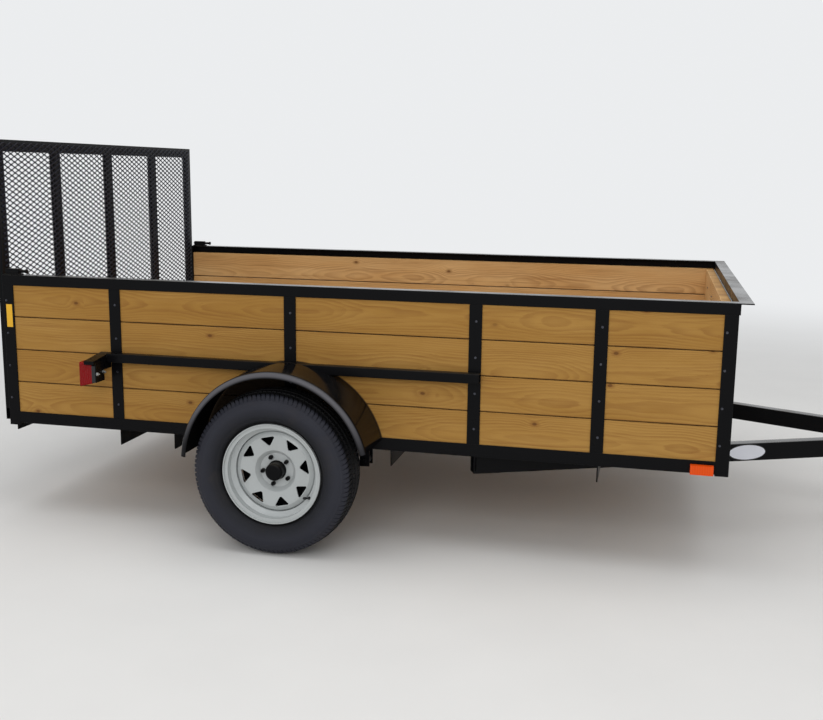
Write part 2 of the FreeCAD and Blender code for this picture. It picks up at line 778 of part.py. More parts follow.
def make_tyre(side, way):
    """Tyre: a hollow carcass open to the rim, turned in flat steps that keep its mesh light.

    Each step is flat where a round tyre would be tangent to it, so the wheel stands on a flat.
    """
    seat = "rim_seat_radius + bead_clearance"
    bead = "(rim_width / 2 - bead_clearance)"
    outer = "tyre_diameter / 2"
    outside = [(seat, bead), (f"{seat} + bead_rise", bead),
               (f"{outer} - low_wall_drop", "low_wall_width / 2"),
               (f"{outer} - bulge_drop", "tyre_width / 2"),
               (f"{outer} - high_wall_drop", "high_wall_width / 2"),
               (f"{outer} - tread_drop", "tread_width / 2"), (outer, "tread_flat / 2")]
    inside = [(f"{outer} - tyre_tread - tread_drop", "tread_width / 2 - tyre_wall"),
              (f"{outer} - bulge_drop", "tyre_width / 2 - tyre_wall"), (seat, f"{bead} - bead_width")]
    halves = [[(number(radius), number(across)) for radius, across in half] for half in (outside, inside)]
    section = list(halves[0])
    for half in halves:
        section += [(radius, -across) for radius, across in reversed(half)]
    section += halves[1]
    centre = FreeCAD.Vector(number("axle_x"), way * number("wheel_y"), number("axle_z"))
    corner_share = 1 / math.cos(math.pi / TYRE_STEPS)
    rings = []
    for step in range(TYRE_STEPS):
        angle = math.tau * (step + 0.5) / TYRE_STEPS
        along = corner_share * math.cos(angle)
        up = corner_share * math.sin(angle)
        rings.append([centre + FreeCAD.Vector(radius * along, across, radius * up)
                      for radius, across in section])
    faces = []
    for ring, following in zip(rings, rings[1:] + rings[:1]):
        for first in range(len(section)):
            last = (first + 1) % len(section)
            corners = [ring[first], ring[last], following[last], following[first]]
            faces.append(Part.Face(Part.makePolygon(corners + corners[:1])))
    skin = Part.makeShell(faces)
    skin.sewShape()
    feature = add("Part::Feature", "tyre_form_" + side)
    feature.Shape = Part.makeSolid(skin)
    node("tyre_" + side, feature)


def make_rim(side, way):
    """Rim: rolled barrel with flanges, and a pressed disc with windows and lug holes."""
    half = "(rim_width / 2)"
    wall = "rim_wall"
    flange = "rim_flange_radius"
    seat = "rim_seat_radius"
    well = "rim_well_radius"
    outside = [(flange, f"{half} + rim_lip"), (flange, half), (seat, half), (seat, "rim_ledge_half"),
               (well, "rim_well_half")]
    inside = [(f"{well} - {wall}", "(rim_well_half - rim_wall / 2)"),
              (f"{seat} - {wall}", "(rim_ledge_half - rim_wall / 2)"),
              (f"{seat} - {wall}", f"{half} + {wall}"), (f"{flange} - {wall}", f"{half} + {wall}"),
              (f"{flange} - {wall}", f"{half} + rim_lip")]
    mirror = [(u, f"0 - ({v})") for u, v in reversed(outside)]
    mirror += [(u, f"0 - ({v})") for u, v in reversed(inside)]
    body = add("PartDesign::Body", "rim_body_" + side)
    revolve(body, draw(body, "rim_barrel_" + side, "XY_Plane", outside + mirror + inside))
    thick = "disc_thick"
    rise = "disc_rise"
    edge = f"({well} - {wall})"
    flat = "(lug_circle_radius + nut_radius + nut_margin)"
    shoulder = "disc_shoulder_radius"
    crown = ("disc_crown_radius", f"{rise} + disc_crown_rise")
    disc = [("hub_bore_radius", thick), (flat, thick), (shoulder, rise), crown,
            (f"{edge} - disc_bend", f"{rise} - disc_bend_drop"), (f"{edge} + disc_bite", "disc_flange_half"),
            (f"{edge} + disc_bite", "0 - disc_flange_half"), (f"{edge} - {thick}", "0 - disc_flange_half"),
            (f"{edge} - {thick}", "disc_flange_half - disc_bend_drop"),
            (f"{edge} - disc_bend_inner", f"{rise} - disc_bend"),
            (f"{crown[0]} - disc_bite", f"{crown[1]} - {thick}"),
            (f"{shoulder} + disc_bend_drop", f"{rise} - {thick}"), (f"{flat} + disc_lean", "0"),
            ("hub_bore_radius", "0")]
    revolve(body, draw(body, "rim_disc_" + side, "XY_Plane", disc))
    doc.recompute()
    near = "window_inner"
    far = "window_outer"
    wide = "window_half_width"
    round_by = "window_corner"
    hole = [(near, f"0 - {round_by}"), (f"{far} - {round_by}", f"0 - {wide}", round_by, 1),
            (far, f"{round_by} - {wide}"), (far, f"{wide} - {round_by}", round_by, 1),
            (f"{far} - {round_by}", wide), (near, round_by, f"1.3 * {round_by}", 1)]
    window = pocket(body, draw(body, "rim_window_" + side, "XZ_Plane", hole), reverse=False)
    repeat_round(body, window, WINDOWS)
    lug = draw_circle(body, "lug_hole_" + side, "XZ_Plane", "lug_circle_radius * cos(lug_phase)",
                      "lug_circle_radius * sin(lug_phase)", "stud_hole_radius")
    repeat_round(body, pocket(body, lug, reverse=False), LUGS)
    wheel_place(body, way)
    node("rim_" + side, body)


def make_hub(side, way):
    """Hub: flange behind the disc, bored barrel, grease cap in front, studs and nuts."""
    bore = "spindle_radius + spindle_clearance"
    reach = "hub_reach"
    body = add("PartDesign::Body", "hub_body_" + side)
    section = [(bore, "0 - hub_barrel_length"), ("hub_barrel_radius", "0 - hub_barrel_length"),
               ("hub_barrel_radius", "0 - hub_flange_thick"), ("hub_flange_radius", "0 - hub_flange_thick"),
               ("hub_flange_radius", "0"), ("hub_radius", "0"),
               ("hub_radius", f"{reach} - hub_cap_round", "hub_cap_round", 1),
               ("hub_radius - hub_cap_round", reach), ("0", reach), ("0", "hub_cap_depth"),
               (bore, "hub_cap_depth")]
    revolve(body, draw(body, "hub_section_" + side, "XY_Plane", section))
    doc.recompute()
    u = "lug_circle_radius * cos(lug_phase)"
    v = "lug_circle_radius * sin(lug_phase)"
    stud = pad(body, draw_circle(body, "stud_" + side, "XZ_Plane", u, v, "stud_radius"),
               "disc_thick + nut_height + stud_reach", reverse=True)
    doc.recompute()
    repeat_round(body, stud, LUGS)
    corners = [(f"{u} + nut_radius * cos({60 * k})", f"{v} + nut_radius * sin({60 * k})") for k in range(6)]
    hexagon = draw(body, "nut_" + side, "XZ_Plane", corners)
    hexagon.AttachmentOffset = FreeCAD.Placement(FreeCAD.Vector(0, 0, 0), FreeCAD.Rotation())
    bind(hexagon, {"AttachmentOffset.Base.z": "0 - disc_thick - nut_gap"})
    nut = pad(body, hexagon, "nut_height", reverse=True)
    doc.recompute()
    repeat_round(body, nut, LUGS)
    wheel_place(body, way)
    node("hub_" + side, body)


def make_axle():
    """Straight axle tube with a spindle at each end and a spring seat over each spring."""
    end = "(wheel_y - axle_end_gap)"
    tube = cylinder("axle_tube", "axle_tube_radius", f"2 * {end}", "Y", "axle_x", f"0 - {end}", "axle_z")
    spindle = cylinder("axle_spindle", "spindle_radius", "2 * (wheel_y + spindle_reach)", "Y",
                       "axle_x", "0 - wheel_y - spindle_reach", "axle_z")
    seats = []
    for side, way in SIDES.items():
        y = f"{way} * spring_y"
        seats.append(box("spring_seat_" + side, ("axle_x - seat_half", "axle_x + seat_half"),
                         (f"{y} - spring_width / 2", f"{y} + spring_width / 2"),
                         ("spring_top + seat_gap", "axle_z - axle_tube_radius + seat_bite")))
    node("axle", fuse("axle_form", [tube, spindle] + seats))


def arc_strip(centre, inner, thick, half_length, width):
    """A leaf: a strip bent round a centre above it, cut at equal lengths each way."""
    turn = half_length / inner
    rings = []
    for radius in (inner, inner + thick):
        ends = [centre + FreeCAD.Vector(radius * math.sin(a), 0, -radius * math.cos(a))
                for a in (-turn, turn)]
        rings.append((ends[0], centre + FreeCAD.Vector(0, 0, -radius), ends[1]))
    (a, b, c), (d, e, f) = rings
    wire = Part.Wire([Part.Arc(a, b, c).toShape(), Part.makeLine(c, f), Part.Arc(f, e, d).toShape(),
                      Part.makeLine(d, a)])
    return Part.Face(wire).extrude(FreeCAD.Vector(0, width, 0))


def make_springs():
    """Leaf springs under the axle: a main leaf with rolled eyes and shorter leaves below it."""
    half = number("spring_span / 2")
    camber = SIZES["spring_camber"]
    thick = SIZES["leaf_thick"]
    width = SIZES["spring_width"]
    mean = (half ** 2 + camber ** 2) / (2 * camber)
    main_reach = mean * math.asin(half / mean) - (SIZES["eye_radius"] + SIZES["eye_bore_radius"]) / 2
    solids = []
    for side, way in SIDES.items():
        y = way * number("spring_y") - width / 2
        centre = FreeCAD.Vector(number("axle_x"), y, number("spring_top - leaf_thick / 2") + mean)
        main = arc_strip(centre, mean - thick / 2, thick, main_reach, width)
        eyes = []
        for end in (-1, 1):
            at = FreeCAD.Vector(number("axle_x") + end * half, y, number("eye_z"))
            eye = Part.makeCylinder(SIZES["eye_radius"], width, at, FreeCAD.Vector(0, 1, 0))
            bore = Part.makeCylinder(SIZES["eye_bore_radius"], width, at, FreeCAD.Vector(0, 1, 0))
            main = main.fuse(eye)
            eyes.append(bore)
        for bore in eyes:
            main = main.cut(bore)
        solids.append(main.removeSplitter())
        for step in range(1, LEAVES):
            reach = half * (1 - SIZES["leaf_step"] * step)
            solids.append(arc_strip(centre, mean - thick / 2 + step * thick, thick, reach, width))
    feature = add("Part::Feature", "leaf_pack")
    feature.Shape = Part.makeCompound(solids)
    node("leaf_springs", feature)


def make_hangers():
    """Front hangers, and rear hangers with shackles, each with its bolt through the spring's eye."""
    pieces = []
    for side, way in SIDES.items():
        for end, x_way in (("front", 1), ("rear", -1)):
            tag = f"{side}_{end}"
            x = f"(axle_x + {x_way} * spring_span / 2)"
            y = f"({way} * spring_y)"
            inner = "(spring_width / 2 + hanger_gap)"
            plates = []
            for cheek, y_way in (("out", way), ("in", -way)):
                near = f"{y} + {y_way} * {inner}"
                far = f"{near} + {y_way} * hanger_plate"
                low, high = (near, far) if y_way > 0 else (far, near)
                plates.append(box(f"hanger_{tag}_{cheek}", (f"{x} - hanger_half", f"{x} + hanger_half"),
                                  (low, high), ("eye_z - hanger_drop", "rail_base")))
            reach = f"({inner} + hanger_plate + bolt_reach)"
            bolt = cylinder("hanger_bolt_" + tag, "eye_bore_radius - bolt_clearance", f"2 * {reach}", "Y", x,
                            f"{y} - {reach}", "eye_z")
            pieces.append(fuse("hanger_" + tag, plates + [bolt]))
    node("spring_hangers", group("spring_hangers", pieces))


def make_u_bolts():
    """Round bolts over the axle tube, down past the springs to a tie plate."""
    pieces = []
    bolt = SIZES["u_bolt_radius"]
    bend = number("axle_tube_radius + u_bolt_radius + u_bolt_gap")
    along = SIZES["tie_plate_margin_along"]
    across = SIZES["tie_plate_margin_across"]
    thick = SIZES["tie_plate_thick"]
    foot = number("spring_top") - LEAVES * SIZES["leaf_thick"]
    for side, way in SIDES.items():
        y = way * number("spring_y")
        reach = number("spring_width / 2 + u_bolt_radius + hanger_gap")
        corner = FreeCAD.Vector(number("axle_x") - bend - along, y - reach - across, foot - thick)
        plate = Part.makeBox(2 * (bend + along), 2 * (reach + across), thick, corner)
        for at in (y - reach, y + reach):
            centre = FreeCAD.Vector(number("axle_x"), at, number("axle_z"))
            low = foot - SIZES["u_bolt_reach"]
            ends = [FreeCAD.Vector(centre.x + x_way * bend, at, low) for x_way in (-1, 1)]
            turns = [FreeCAD.Vector(end.x, at, centre.z) for end in ends]
            top = centre + FreeCAD.Vector(0, 0, bend)
            path = Part.Wire([Part.makeLine(ends[0], turns[0]), Part.Arc(turns[0], top, turns[1]).toShape(),
                              Part.makeLine(turns[1], ends[1])])
            ring = Part.Wire(Part.makeCircle(bolt, ends[0], FreeCAD.Vector(0, 0, 1)))
            plate = plate.fuse(path.makePipeShell([ring], True, True))
        pieces.append(plate)
    feature = add("Part::Feature", "u_bolt_pack")
    feature.Shape = Part.makeCompound(pieces)
    node("axle_u_bolts", feature)


def make_fender(side, way):
    """Round fender with a rolled outer lip, notched where the middle rail passes."""
    body = add("PartDesign::Body", "fender_body_" + side)
    radius = "fender_radius"
    sheet = "fender_sheet"
    bend = "fender_corner"
    width = "fender_width"
    section = [(radius, "0"), (radius, f"{width} - {bend}", bend, 1), (f"{radius} - {bend}", width),
               (f"{radius} - fender_lip", width), (f"{radius} - fender_lip", f"{width} - {sheet}"),
               (f"{radius} - {bend}", f"{width} - {sheet}", f"{bend} - {sheet}", -1),
               (f"{radius} - {sheet}", f"{width} - {bend}"), (f"{radius} - {sheet}", "0")]
    sketch = draw(body, "fender_section_" + side, "XY_Plane", section, flip=way)
    revolve(body, sketch, "fender_sweep", reverse=True)
    body.Placement.Rotation = FreeCAD.Rotation(FreeCAD.Vector(0, 1, 0), -SIZES["fender_front_angle"])
    place(body, "fender_x", f"{way} * half_bed", "fender_z")
    notch = box("fender_notch_" + side, ("fender_x - fender_radius", "fender_x + fender_radius"),
                span(way, "half_bed - over", "half_bed + mid_rail_size"),
                ("mid_rail_foot", "mid_rail_top + fender_radius"))
    node("fender_" + side, cut("fender_form_" + side, body, [notch]))


def tapered(name, x, length, inset, way):
    """A stretch of the tail light, which narrows from its lens towards its mounting face."""
    near = f"(half_bed + tail_light_inner + {inset})"
    far = f"(half_bed + tail_light_inner + tail_light_width - {inset})"
    low = f"(tail_light_base + {inset})"
    high = f"(tail_light_base + tail_light_height - {inset})"
    turn = "tail_light_corner"
    corners = [(f"{near} + {turn}", low), (f"{far} - {turn}", low, turn, 1), (far, f"{low} + {turn}"),
               (far, f"{high} - {turn}", turn, 1), (f"{far} - {turn}", high),
               (f"{near} + {turn}", high, turn, 1), (near, f"{high} - {turn}"),
               (near, f"{low} + {turn}", turn, 1)]
    outline = []
    for across, up, *bend in corners:
        if bend:
            bend = [turn, way]
        outline.append((f"{way} * ({across})", up, *bend))
    body = add("PartDesign::Body", name)
    feature = pad(body, draw(body, name + "_outline", "YZ_Plane", outline), length)
    bind(feature, {"TaperAngle": "0 - tail_light_taper"})
    place(body, x)
    return body


def make_lamps():
    """Tail lights on hooded brackets behind the rear posts, and marker lamps on the bottom rails."""
    front = "(bed_front - post_rear_back - angle_leg)"
    rear = f"({front} - tail_light_depth)"
    lens_length = "(tail_light_depth - angle_wall - tail_light_housing)"
    slope = "tan(tail_light_taper)"
    inset = f"({lens_length} + tail_light_housing) * {slope}"
    near = f"(half_bed + tail_light_inner + {inset})"
    far = f"(half_bed + tail_light_inner + tail_light_width - {inset})"
    eaves = "(half_bed + tail_light_inner + tail_light_width + hood_gap)"
    low = f"(tail_light_base + {inset})"
    arm = "(mid_rail_top - lamp_arm_depth)"
    top = "mid_rail_top"
    edge = "(mid_rail_top - hood_drop)"
    brackets, housings, lenses, markers = [], [], [], []
    for side, way in SIDES.items():
        plate = [("half_bed", top), (eaves, edge), (eaves, f"{edge} - hood_skirt"),
                 (far, f"{edge} - hood_skirt"), (far, low), (near, low), (near, arm), ("half_bed", arm)]
        hood = [("half_bed", top), (eaves, edge), (eaves, f"{edge} - hood_skirt"),
                (f"{eaves} - hood_sheet", f"{edge} - hood_skirt"),
                (f"{eaves} - hood_sheet", f"{edge} - hood_sheet"), ("half_bed", f"{top} - hood_sheet")]
        pieces = []
        for part, outline, length in (("plate", plate, "angle_wall"), ("hood", hood, "hood_length")):
            outline = [(f"{way} * ({u})", v) for u, v in outline]
            pieces.append(prism(f"lamp_{part}_{side}", "YZ_Plane", outline, length, x=f"{front} - {length}"))
        brackets.append(fuse("lamp_bracket_" + side, pieces))
        lenses.append(tapered("lamp_lens_" + side, rear, lens_length, "0", way))
        housings.append(tapered("lamp_housing_" + side, f"{rear} + {lens_length}", "tail_light_housing",
                                f"({lens_length} * {slope})", way))
        along = ("bed_front - marker_back - marker_length", "bed_front - marker_back")
        markers.append(box("marker_" + side, along, span(way, "half_bed", "half_bed + marker_depth"),
                           ("marker_base", "marker_base + marker_height")))
    node("tail_light_brackets", group("tail_light_brackets", brackets))
    node("tail_light_housings", group("tail_light_housings", housings))
    node("tail_light_lenses", group("tail_light_lenses", lenses))
    node("marker_lamps", group("marker_lamps", markers))


def hinge_places():
    """Where the gate's hinges sit across the bed."""
    return [f"({way} * hinge_spread)" for way in (-1, 0, 1)]


def make_gate():
    """Ramp gate: tube frame with hinge tabs, and expanded mesh on its bed side."""
    half = "(gate_width / 2)"
    bar = "gate_bar"
    wall = "gate_tube_wall"
    depth = ("gate_rear", "gate_front")
    core_depth = (f"gate_rear + {wall}", f"gate_front - {wall}")
    solids, cores = [], []
    for name, low in (("top", "gate_top - gate_bar"), ("bottom", "gate_foot")):
        solids.append(box(f"gate_{name}", depth, (f"0 - {half}", half), (low, f"{low} + {bar}")))
        cores.append(box(f"gate_{name}_core", core_depth, (f"0 - {half} - over", f"{half} + over"),
                         (f"{low} + {wall}", f"{low} + {bar} - {wall}")))
    lows = [f"({step} * gate_upright_pitch - {bar} / 2)" for step in (-1, 0, 1)]
    lows += [f"(0 - {half})", f"({half} - {bar})"]
    for index, low in enumerate(lows):
        solids.append(box(f"gate_upright_{index}", depth, (low, f"{low} + {bar}"), ("gate_foot", "gate_top")))
        cores.append(box(f"gate_upright_core_{index}", core_depth,
                         (f"{low} + {wall}", f"{low} + {bar} - {wall}"),
                         (f"gate_foot + {wall}", f"gate_top - {wall}")))
    tube = cut("gate_tube", fuse("gate_solid", solids), cores)
    tabs = []
    knuckle = "hinge_knuckle_radius"
    for index, y in enumerate(hinge_places()):
        low = f"({y} - hinge_plate / 2)"
        boss = cylinder(f"tab_boss_{index}", f"{knuckle} - hinge_clearance", "hinge_plate", "Y", "hinge_x",
                        low, "hinge_z")
        strap = box(f"tab_strap_{index}", ("gate_rear + hinge_clearance", "gate_front - hinge_clearance"),
                    (low, f"{low} + hinge_plate"), ("hinge_z", "gate_foot"))
        hole = cylinder(f"tab_hole_{index}", "hinge_pin_radius + hinge_clearance", "hinge_plate + 2 * over",
                        "Y", "hinge_x", f"{low} - over", "hinge_z")
        tabs.append(cut(f"gate_tab_{index}", fuse(f"tab_solid_{index}", [boss, strap]), [hole]))
    node("gate_frame", fuse("gate_frame_form", [tube] + tabs))
    make_mesh()


def make_mesh():
    """Expanded mesh: a sheet with staggered diamond openings."""
    half = number("gate_width / 2 - mesh_inset")
    low = number("gate_foot + mesh_inset")
    high = number("gate_top - mesh_inset")
    long_pitch = SIZES["diamond_long"]
    short_pitch = SIZES["diamond_short"]
    strand = SIZES["mesh_strand"]
    x = number("gate_front")
    slope = math.hypot(long_pitch, short_pitch)
    half_long = long_pitch / 2 - strand * slope / short_pitch / 2
    half_short = short_pitch / 2 - strand * slope / long_pitch / 2
    rim = [(-half, low), (half, low), (half, high), (-half, high)]
    columns = int((2 * half - strand) // long_pitch)
    rows = int((high - low - strand) // short_pitch)
    start_y = -columns * long_pitch / 2
    start_z = (low + high - rows * short_pitch) / 2
    holes = []
    for row in range(2 * rows - 1):
        shift = 0.5 * (row % 2)
        for column in range(columns - row % 2):
            y = start_y + (column + 0.5 + shift) * long_pitch
            z = start_z + (row + 1) * short_pitch / 2
            holes.append([(y - half_long, z), (y, z - half_short), (y + half_long, z), (y, z + half_short)])
    wires = []
    for points in [rim] + holes:
        corners = [FreeCAD.Vector(x, y, z) for y, z in points]
        wires.append(Part.makePolygon(corners + corners[:1]))
    sheet = Part.Face(wires[0])
    cutter = Part.makeCompound([Part.Face(wire) for wire in wires[1:]])
    face = sheet.cut(cutter).Faces[0]
    feature = add("Part::Feature", "mesh_sheet")
    feature.Shape = face.extrude(FreeCAD.Vector(SIZES["mesh_thick"], 0, 0))
    node("gate_mesh", feature)


def make_gate_hinges():
    """Hinge lugs on the rear sill with their pins, and the spring bolts on the top rails."""
    pieces = []
    for index, y in enumerate(hinge_places()):
        inner = "(hinge_plate / 2 + hinge_side_gap)"
        lugs = []
        for way in (-1, 1):
            near = f"{y} + {way} * {inner}"
            far = f"{near} + {way} * hinge_plate"
            low, high = (near, far) if way > 0 else (far, near)
            tag = f"{index}_{'low' if way < 0 else 'high'}"
            lugs.append(cylinder("lug_round_" + tag, "hinge_knuckle_radius", "hinge_plate", "Y", "hinge_x",
                                 low, "hinge_z"))
            lugs.append(box("lug_arm_" + tag, ("hinge_x", "bed_rear"), (low, high),
                            ("hinge_z - hinge_knuckle_radius", "hinge_z + hinge_knuckle_radius")))
        reach = f"({inner} + hinge_plate + hinge_pin_reach)"
        pin = cylinder(f"hinge_pin_{index}", "hinge_pin_radius", f"2 * {reach}", "Y", "hinge_x",
                       f"{y} - {reach}", "hinge_z")
        pieces.append(fuse(f"hinge_{index}", lugs + [pin]))
    node("gate_hinges", group("gate_hinges", pieces))
    latches = []
    for side, way in SIDES.items():
        y = f"{way} * (half_bed - angle_leg / 2)"
        rear = "(bed_rear + latch_set_in)"
        floor = "(rail_top + latch_base_thick)"
        rod_z = f"({floor} + latch_barrel_height / 2)"
        base = box("latch_base_" + side, (rear, f"{rear} + latch_length"),
                   (f"{y} - latch_base_half", f"{y} + latch_base_half"), ("rail_top", floor))
        barrel = box("latch_barrel_" + side,
                     (f"{rear} + latch_margin", f"{rear} + latch_length - latch_margin"),
                     (f"{y} - latch_barrel_half", f"{y} + latch_barrel_half"),
                     (floor, f"{floor} + latch_barrel_height"))
        rod = cylinder("latch_rod_" + side, "latch_rod_radius", "latch_length + latch_rod_reach", "X", rear,
                       y, rod_z)
        knob = cylinder("latch_knob_" + side, "latch_knob_radius", "latch_knob_length", "X",
                        f"{rear} + latch_length + latch_rod_reach - over", y, rod_z)
        latches.append(fuse("latch_" + side, [base, barrel, rod, knob]))
    node("gate_latches", group("gate_latches", latches))


def build():
    """Make every sub-part."""
    bars = make_tongue()
    for side, way in SIDES.items():
        make_rails(side, way)
        make_posts(side, way)
        make_tyre(side, way)
        make_rim(side, way)
        make_hub(side, way)
        make_fender(side, way)
    make_corner_posts()
    make_cross_frame(bars)
    make_boards()
    make_coupler()
    make_jack()
    make_axle()
    make_springs()
    make_hangers()
    make_u_bolts()
    make_lamps()
    make_gate()
    make_gate_hinges()
    doc.recompute()


def check():
    """Stop if any object failed or any sub-part has no valid shape."""
    for thing in doc.Objects:
        if {"Invalid", "Error"} & set(thing.State):
            raise RuntimeError(f"{thing.Name} failed: {thing.State}")
    for name, thing in nodes.items():
        if thing.Shape.isNull() or not thing.Shape.isValid() or not thing.Shape.Solids:
            raise RuntimeError(f"{name} has no valid solid")


def export():
    """Write each sub-part's shape to its own file."""
    os.makedirs("parts", exist_ok=True)
    whole = FreeCAD.BoundBox()
    for name, thing in nodes.items():
        thing.Shape.exportStep(f"parts/{name}.step")
        whole.add(thing.Shape.BoundBox)
        print(f"{name}: {len(thing.Shape.Solids)} solids, {thing.Shape.Volume / 1e6:.3f} litres")
    print("nodes", len(nodes), "box", whole)


build()
check()
export()
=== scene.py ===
"""Looks of the utility trailer: camera, light, finishes, tyre tread, gate mesh and small fixings.

Metres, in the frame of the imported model: +X forward, +Y left, +Z up, origin on the ground.
"""

import json
import math

import bmesh
import bpy
from mathutils import Matrix, Vector


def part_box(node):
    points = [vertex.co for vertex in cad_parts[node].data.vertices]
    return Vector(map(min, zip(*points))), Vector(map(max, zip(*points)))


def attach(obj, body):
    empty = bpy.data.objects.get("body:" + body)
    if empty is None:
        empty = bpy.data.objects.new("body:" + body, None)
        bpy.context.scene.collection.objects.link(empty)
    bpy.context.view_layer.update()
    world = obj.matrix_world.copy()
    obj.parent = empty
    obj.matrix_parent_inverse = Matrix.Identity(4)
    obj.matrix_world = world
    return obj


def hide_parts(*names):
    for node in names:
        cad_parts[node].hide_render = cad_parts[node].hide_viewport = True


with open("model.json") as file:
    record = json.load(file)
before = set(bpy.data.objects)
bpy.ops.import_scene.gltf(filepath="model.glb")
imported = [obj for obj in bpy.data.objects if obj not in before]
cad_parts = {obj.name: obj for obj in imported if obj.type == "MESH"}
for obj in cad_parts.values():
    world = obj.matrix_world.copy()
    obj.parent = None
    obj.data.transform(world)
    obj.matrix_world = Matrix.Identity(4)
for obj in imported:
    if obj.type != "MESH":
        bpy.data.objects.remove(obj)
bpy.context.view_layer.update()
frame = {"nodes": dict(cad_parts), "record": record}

SIDES = {"right": -1, "left": 1}

# The photograph's camera, solved from the trailer's own edges.
CAMERA_PLACE = (0.675, -4.871, 1.526)
CAMERA_PITCH = 79.60
CAMERA_ROLL = -0.668
CAMERA_YAW = 13.447
CAMERA_LENS = 45.1
SENSOR_WIDTH = 36.0

# Colours as they look, in sRGB steps of 255.
BLACK = (9, 9, 11)
# Painted sheen on the fender's lip.
LIP_PAINTED_SHEEN = (88, 87, 91)
# Black paint with a painted blue-grey sky sheen, for the gate's mesh.
MESH_BLACK_WITH_PAINTED_SHEEN = (34, 37, 49)
FILM_GREY = (120, 116, 106)
SHADE_BROWN = (20, 14, 9)
# Painted shade inside the wheel's barrel.
BARREL_PAINTED_SHADE = (9, 9, 10)
# Painted shade on the tyre's tread.
TREAD_PAINTED_SHADE = (19, 19, 21)
DUST = (96, 88, 76)
HONEY = (155, 112, 48)
PALE_PINE = (172, 131, 67)
BROWN_LINE = (122, 76, 32)
# Painted light: the paler tones of the boards' faces towards the bed.
INSIDE_HONEY_PAINTED_LIGHT = (194, 146, 86)
INSIDE_PINE_PAINTED_LIGHT = (212, 172, 118)
KNOT = (82, 45, 18)
RUBBER = (42, 43, 51)
BEAD_BLACK = (22, 23, 27)
WHEEL_GREY = (176, 180, 180)
RED = (134, 2, 5)
DEEP_RED = (84, 2, 4)
AMBER = (235, 84, 4)
DEEP_AMBER = (196, 48, 4)
PLASTIC_BLACK = (22, 22, 23)
SCALE_GREY = (44, 44, 46)
RUST_BROWN = (84, 66, 52)
SCREW_GREY = ((70, 71, 78), (92, 93, 100))
ZINC_GREY = ((150, 152, 152), (188, 190, 188))
YELLOW = (222, 168, 34)
LABEL_WHITE = (206, 208, 216)


def shade(colour):
    """Linear colour with alpha for the shader, from sRGB steps."""
    linear = []
    for step in colour:
        value = step / 255
        linear.append(value / 12.92 if value <= 0.04045 else ((value + 0.055) / 1.055) ** 2.4)
    return (*linear, 1.0)


class Signal:
    """A value that flows through a material's nodes, with plain arithmetic."""

    def __init__(self, paint, socket):
        self.paint = paint
        self.socket = socket

    def __add__(self, other):
        return self.paint.math("ADD", self, other)

    def __sub__(self, other):
        return self.paint.math("SUBTRACT", self, other)

    def __mul__(self, other):
        return self.paint.math("MULTIPLY", self, other)

    def __truediv__(self, other):
        return self.paint.math("DIVIDE", self, other)


class Nodes:
    """A node tree, with short ways to add its nodes."""

    def __init__(self, tree):
        self.tree = tree

    def add(self, kind, **settings):
        node = self.tree.nodes.new(kind)
        for name, value in settings.items():
            setattr(node, name, value)
        return node

    def feed(self, socket, value):
        if isinstance(value, Signal):
            self.tree.links.new(value.socket, socket)
        else:
            socket.default_value = value

    def math(self, operation, *values):
        node = self.add("ShaderNodeMath", operation=operation)
        for socket, value in zip(node.inputs, values):
            self.feed(socket, value)
        return Signal(self, node.outputs[0])

    def split(self, vector):
        node = self.add("ShaderNodeSeparateXYZ")
        self.feed(node.inputs[0], vector)
        return [Signal(self, socket) for socket in node.outputs]

    def join(self, x, y, z):
        node = self.add("ShaderNodeCombineXYZ")
        for socket, value in zip(node.inputs, (x, y, z)):
            self.feed(socket, value)
        return Signal(self, node.outputs[0])

    def noise(self, vector, scale=1.0, detail=2.0, roughness=0.5):
        node = self.add("ShaderNodeTexNoise")
        self.feed(node.inputs["Vector"], vector)
        self.feed(node.inputs["Scale"], scale)
        self.feed(node.inputs["Detail"], detail)
        self.feed(node.inputs["Roughness"], roughness)
        return Signal(self, node.outputs[0])

    def cells(self, vector, scale=1.0, dimensions="3D"):
        """Distance to the nearest cell's centre, and that cell's own random number."""
        node = self.add("ShaderNodeTexVoronoi", voronoi_dimensions=dimensions)
        self.feed(node.inputs["Vector"], vector)
        self.feed(node.inputs["Scale"], scale)
        return Signal(self, node.outputs["Distance"]), self.split(Signal(self, node.outputs["Color"]))[0]

    def random(self, number):
        """Three random numbers of one whole number."""
        node = self.add("ShaderNodeTexWhiteNoise", noise_dimensions="1D")
        self.feed(node.inputs["W"], number)
        return self.split(Signal(self, node.outputs["Color"]))

    def ease(self, value, low, high, out_low=0.0, out_high=1.0):
        """Smooth step from out_low to out_high while the value goes from low to high."""
        node = self.add("ShaderNodeMapRange", interpolation_type="SMOOTHSTEP")
        titles = ("Value", "From Min", "From Max", "To Min", "To Max")
        for title, number in zip(titles, (value, low, high, out_low, out_high)):
            self.feed(node.inputs[title], number)
        return Signal(self, node.outputs[0])

    def mix(self, factor, low, high):
        """Blend of two colours."""
        node = self.add("ShaderNodeMix", data_type="RGBA")
        self.feed(node.inputs[0], factor)
        self.feed(node.inputs[6], low)
        self.feed(node.inputs[7], high)
        return Signal(self, node.outputs[2])

    def seen(self):
        """1 for the rays that show the background: camera, glossy and transmission rays."""
        path = self.add("ShaderNodeLightPath")
        titles = ("Is Camera Ray", "Is Glossy Ray", "Is Transmission Ray")
        camera, glossy, clear = [Signal(self, path.outputs[title]) for title in titles]
        return self.math("MAXIMUM", self.math("MAXIMUM", camera, glossy), clear)


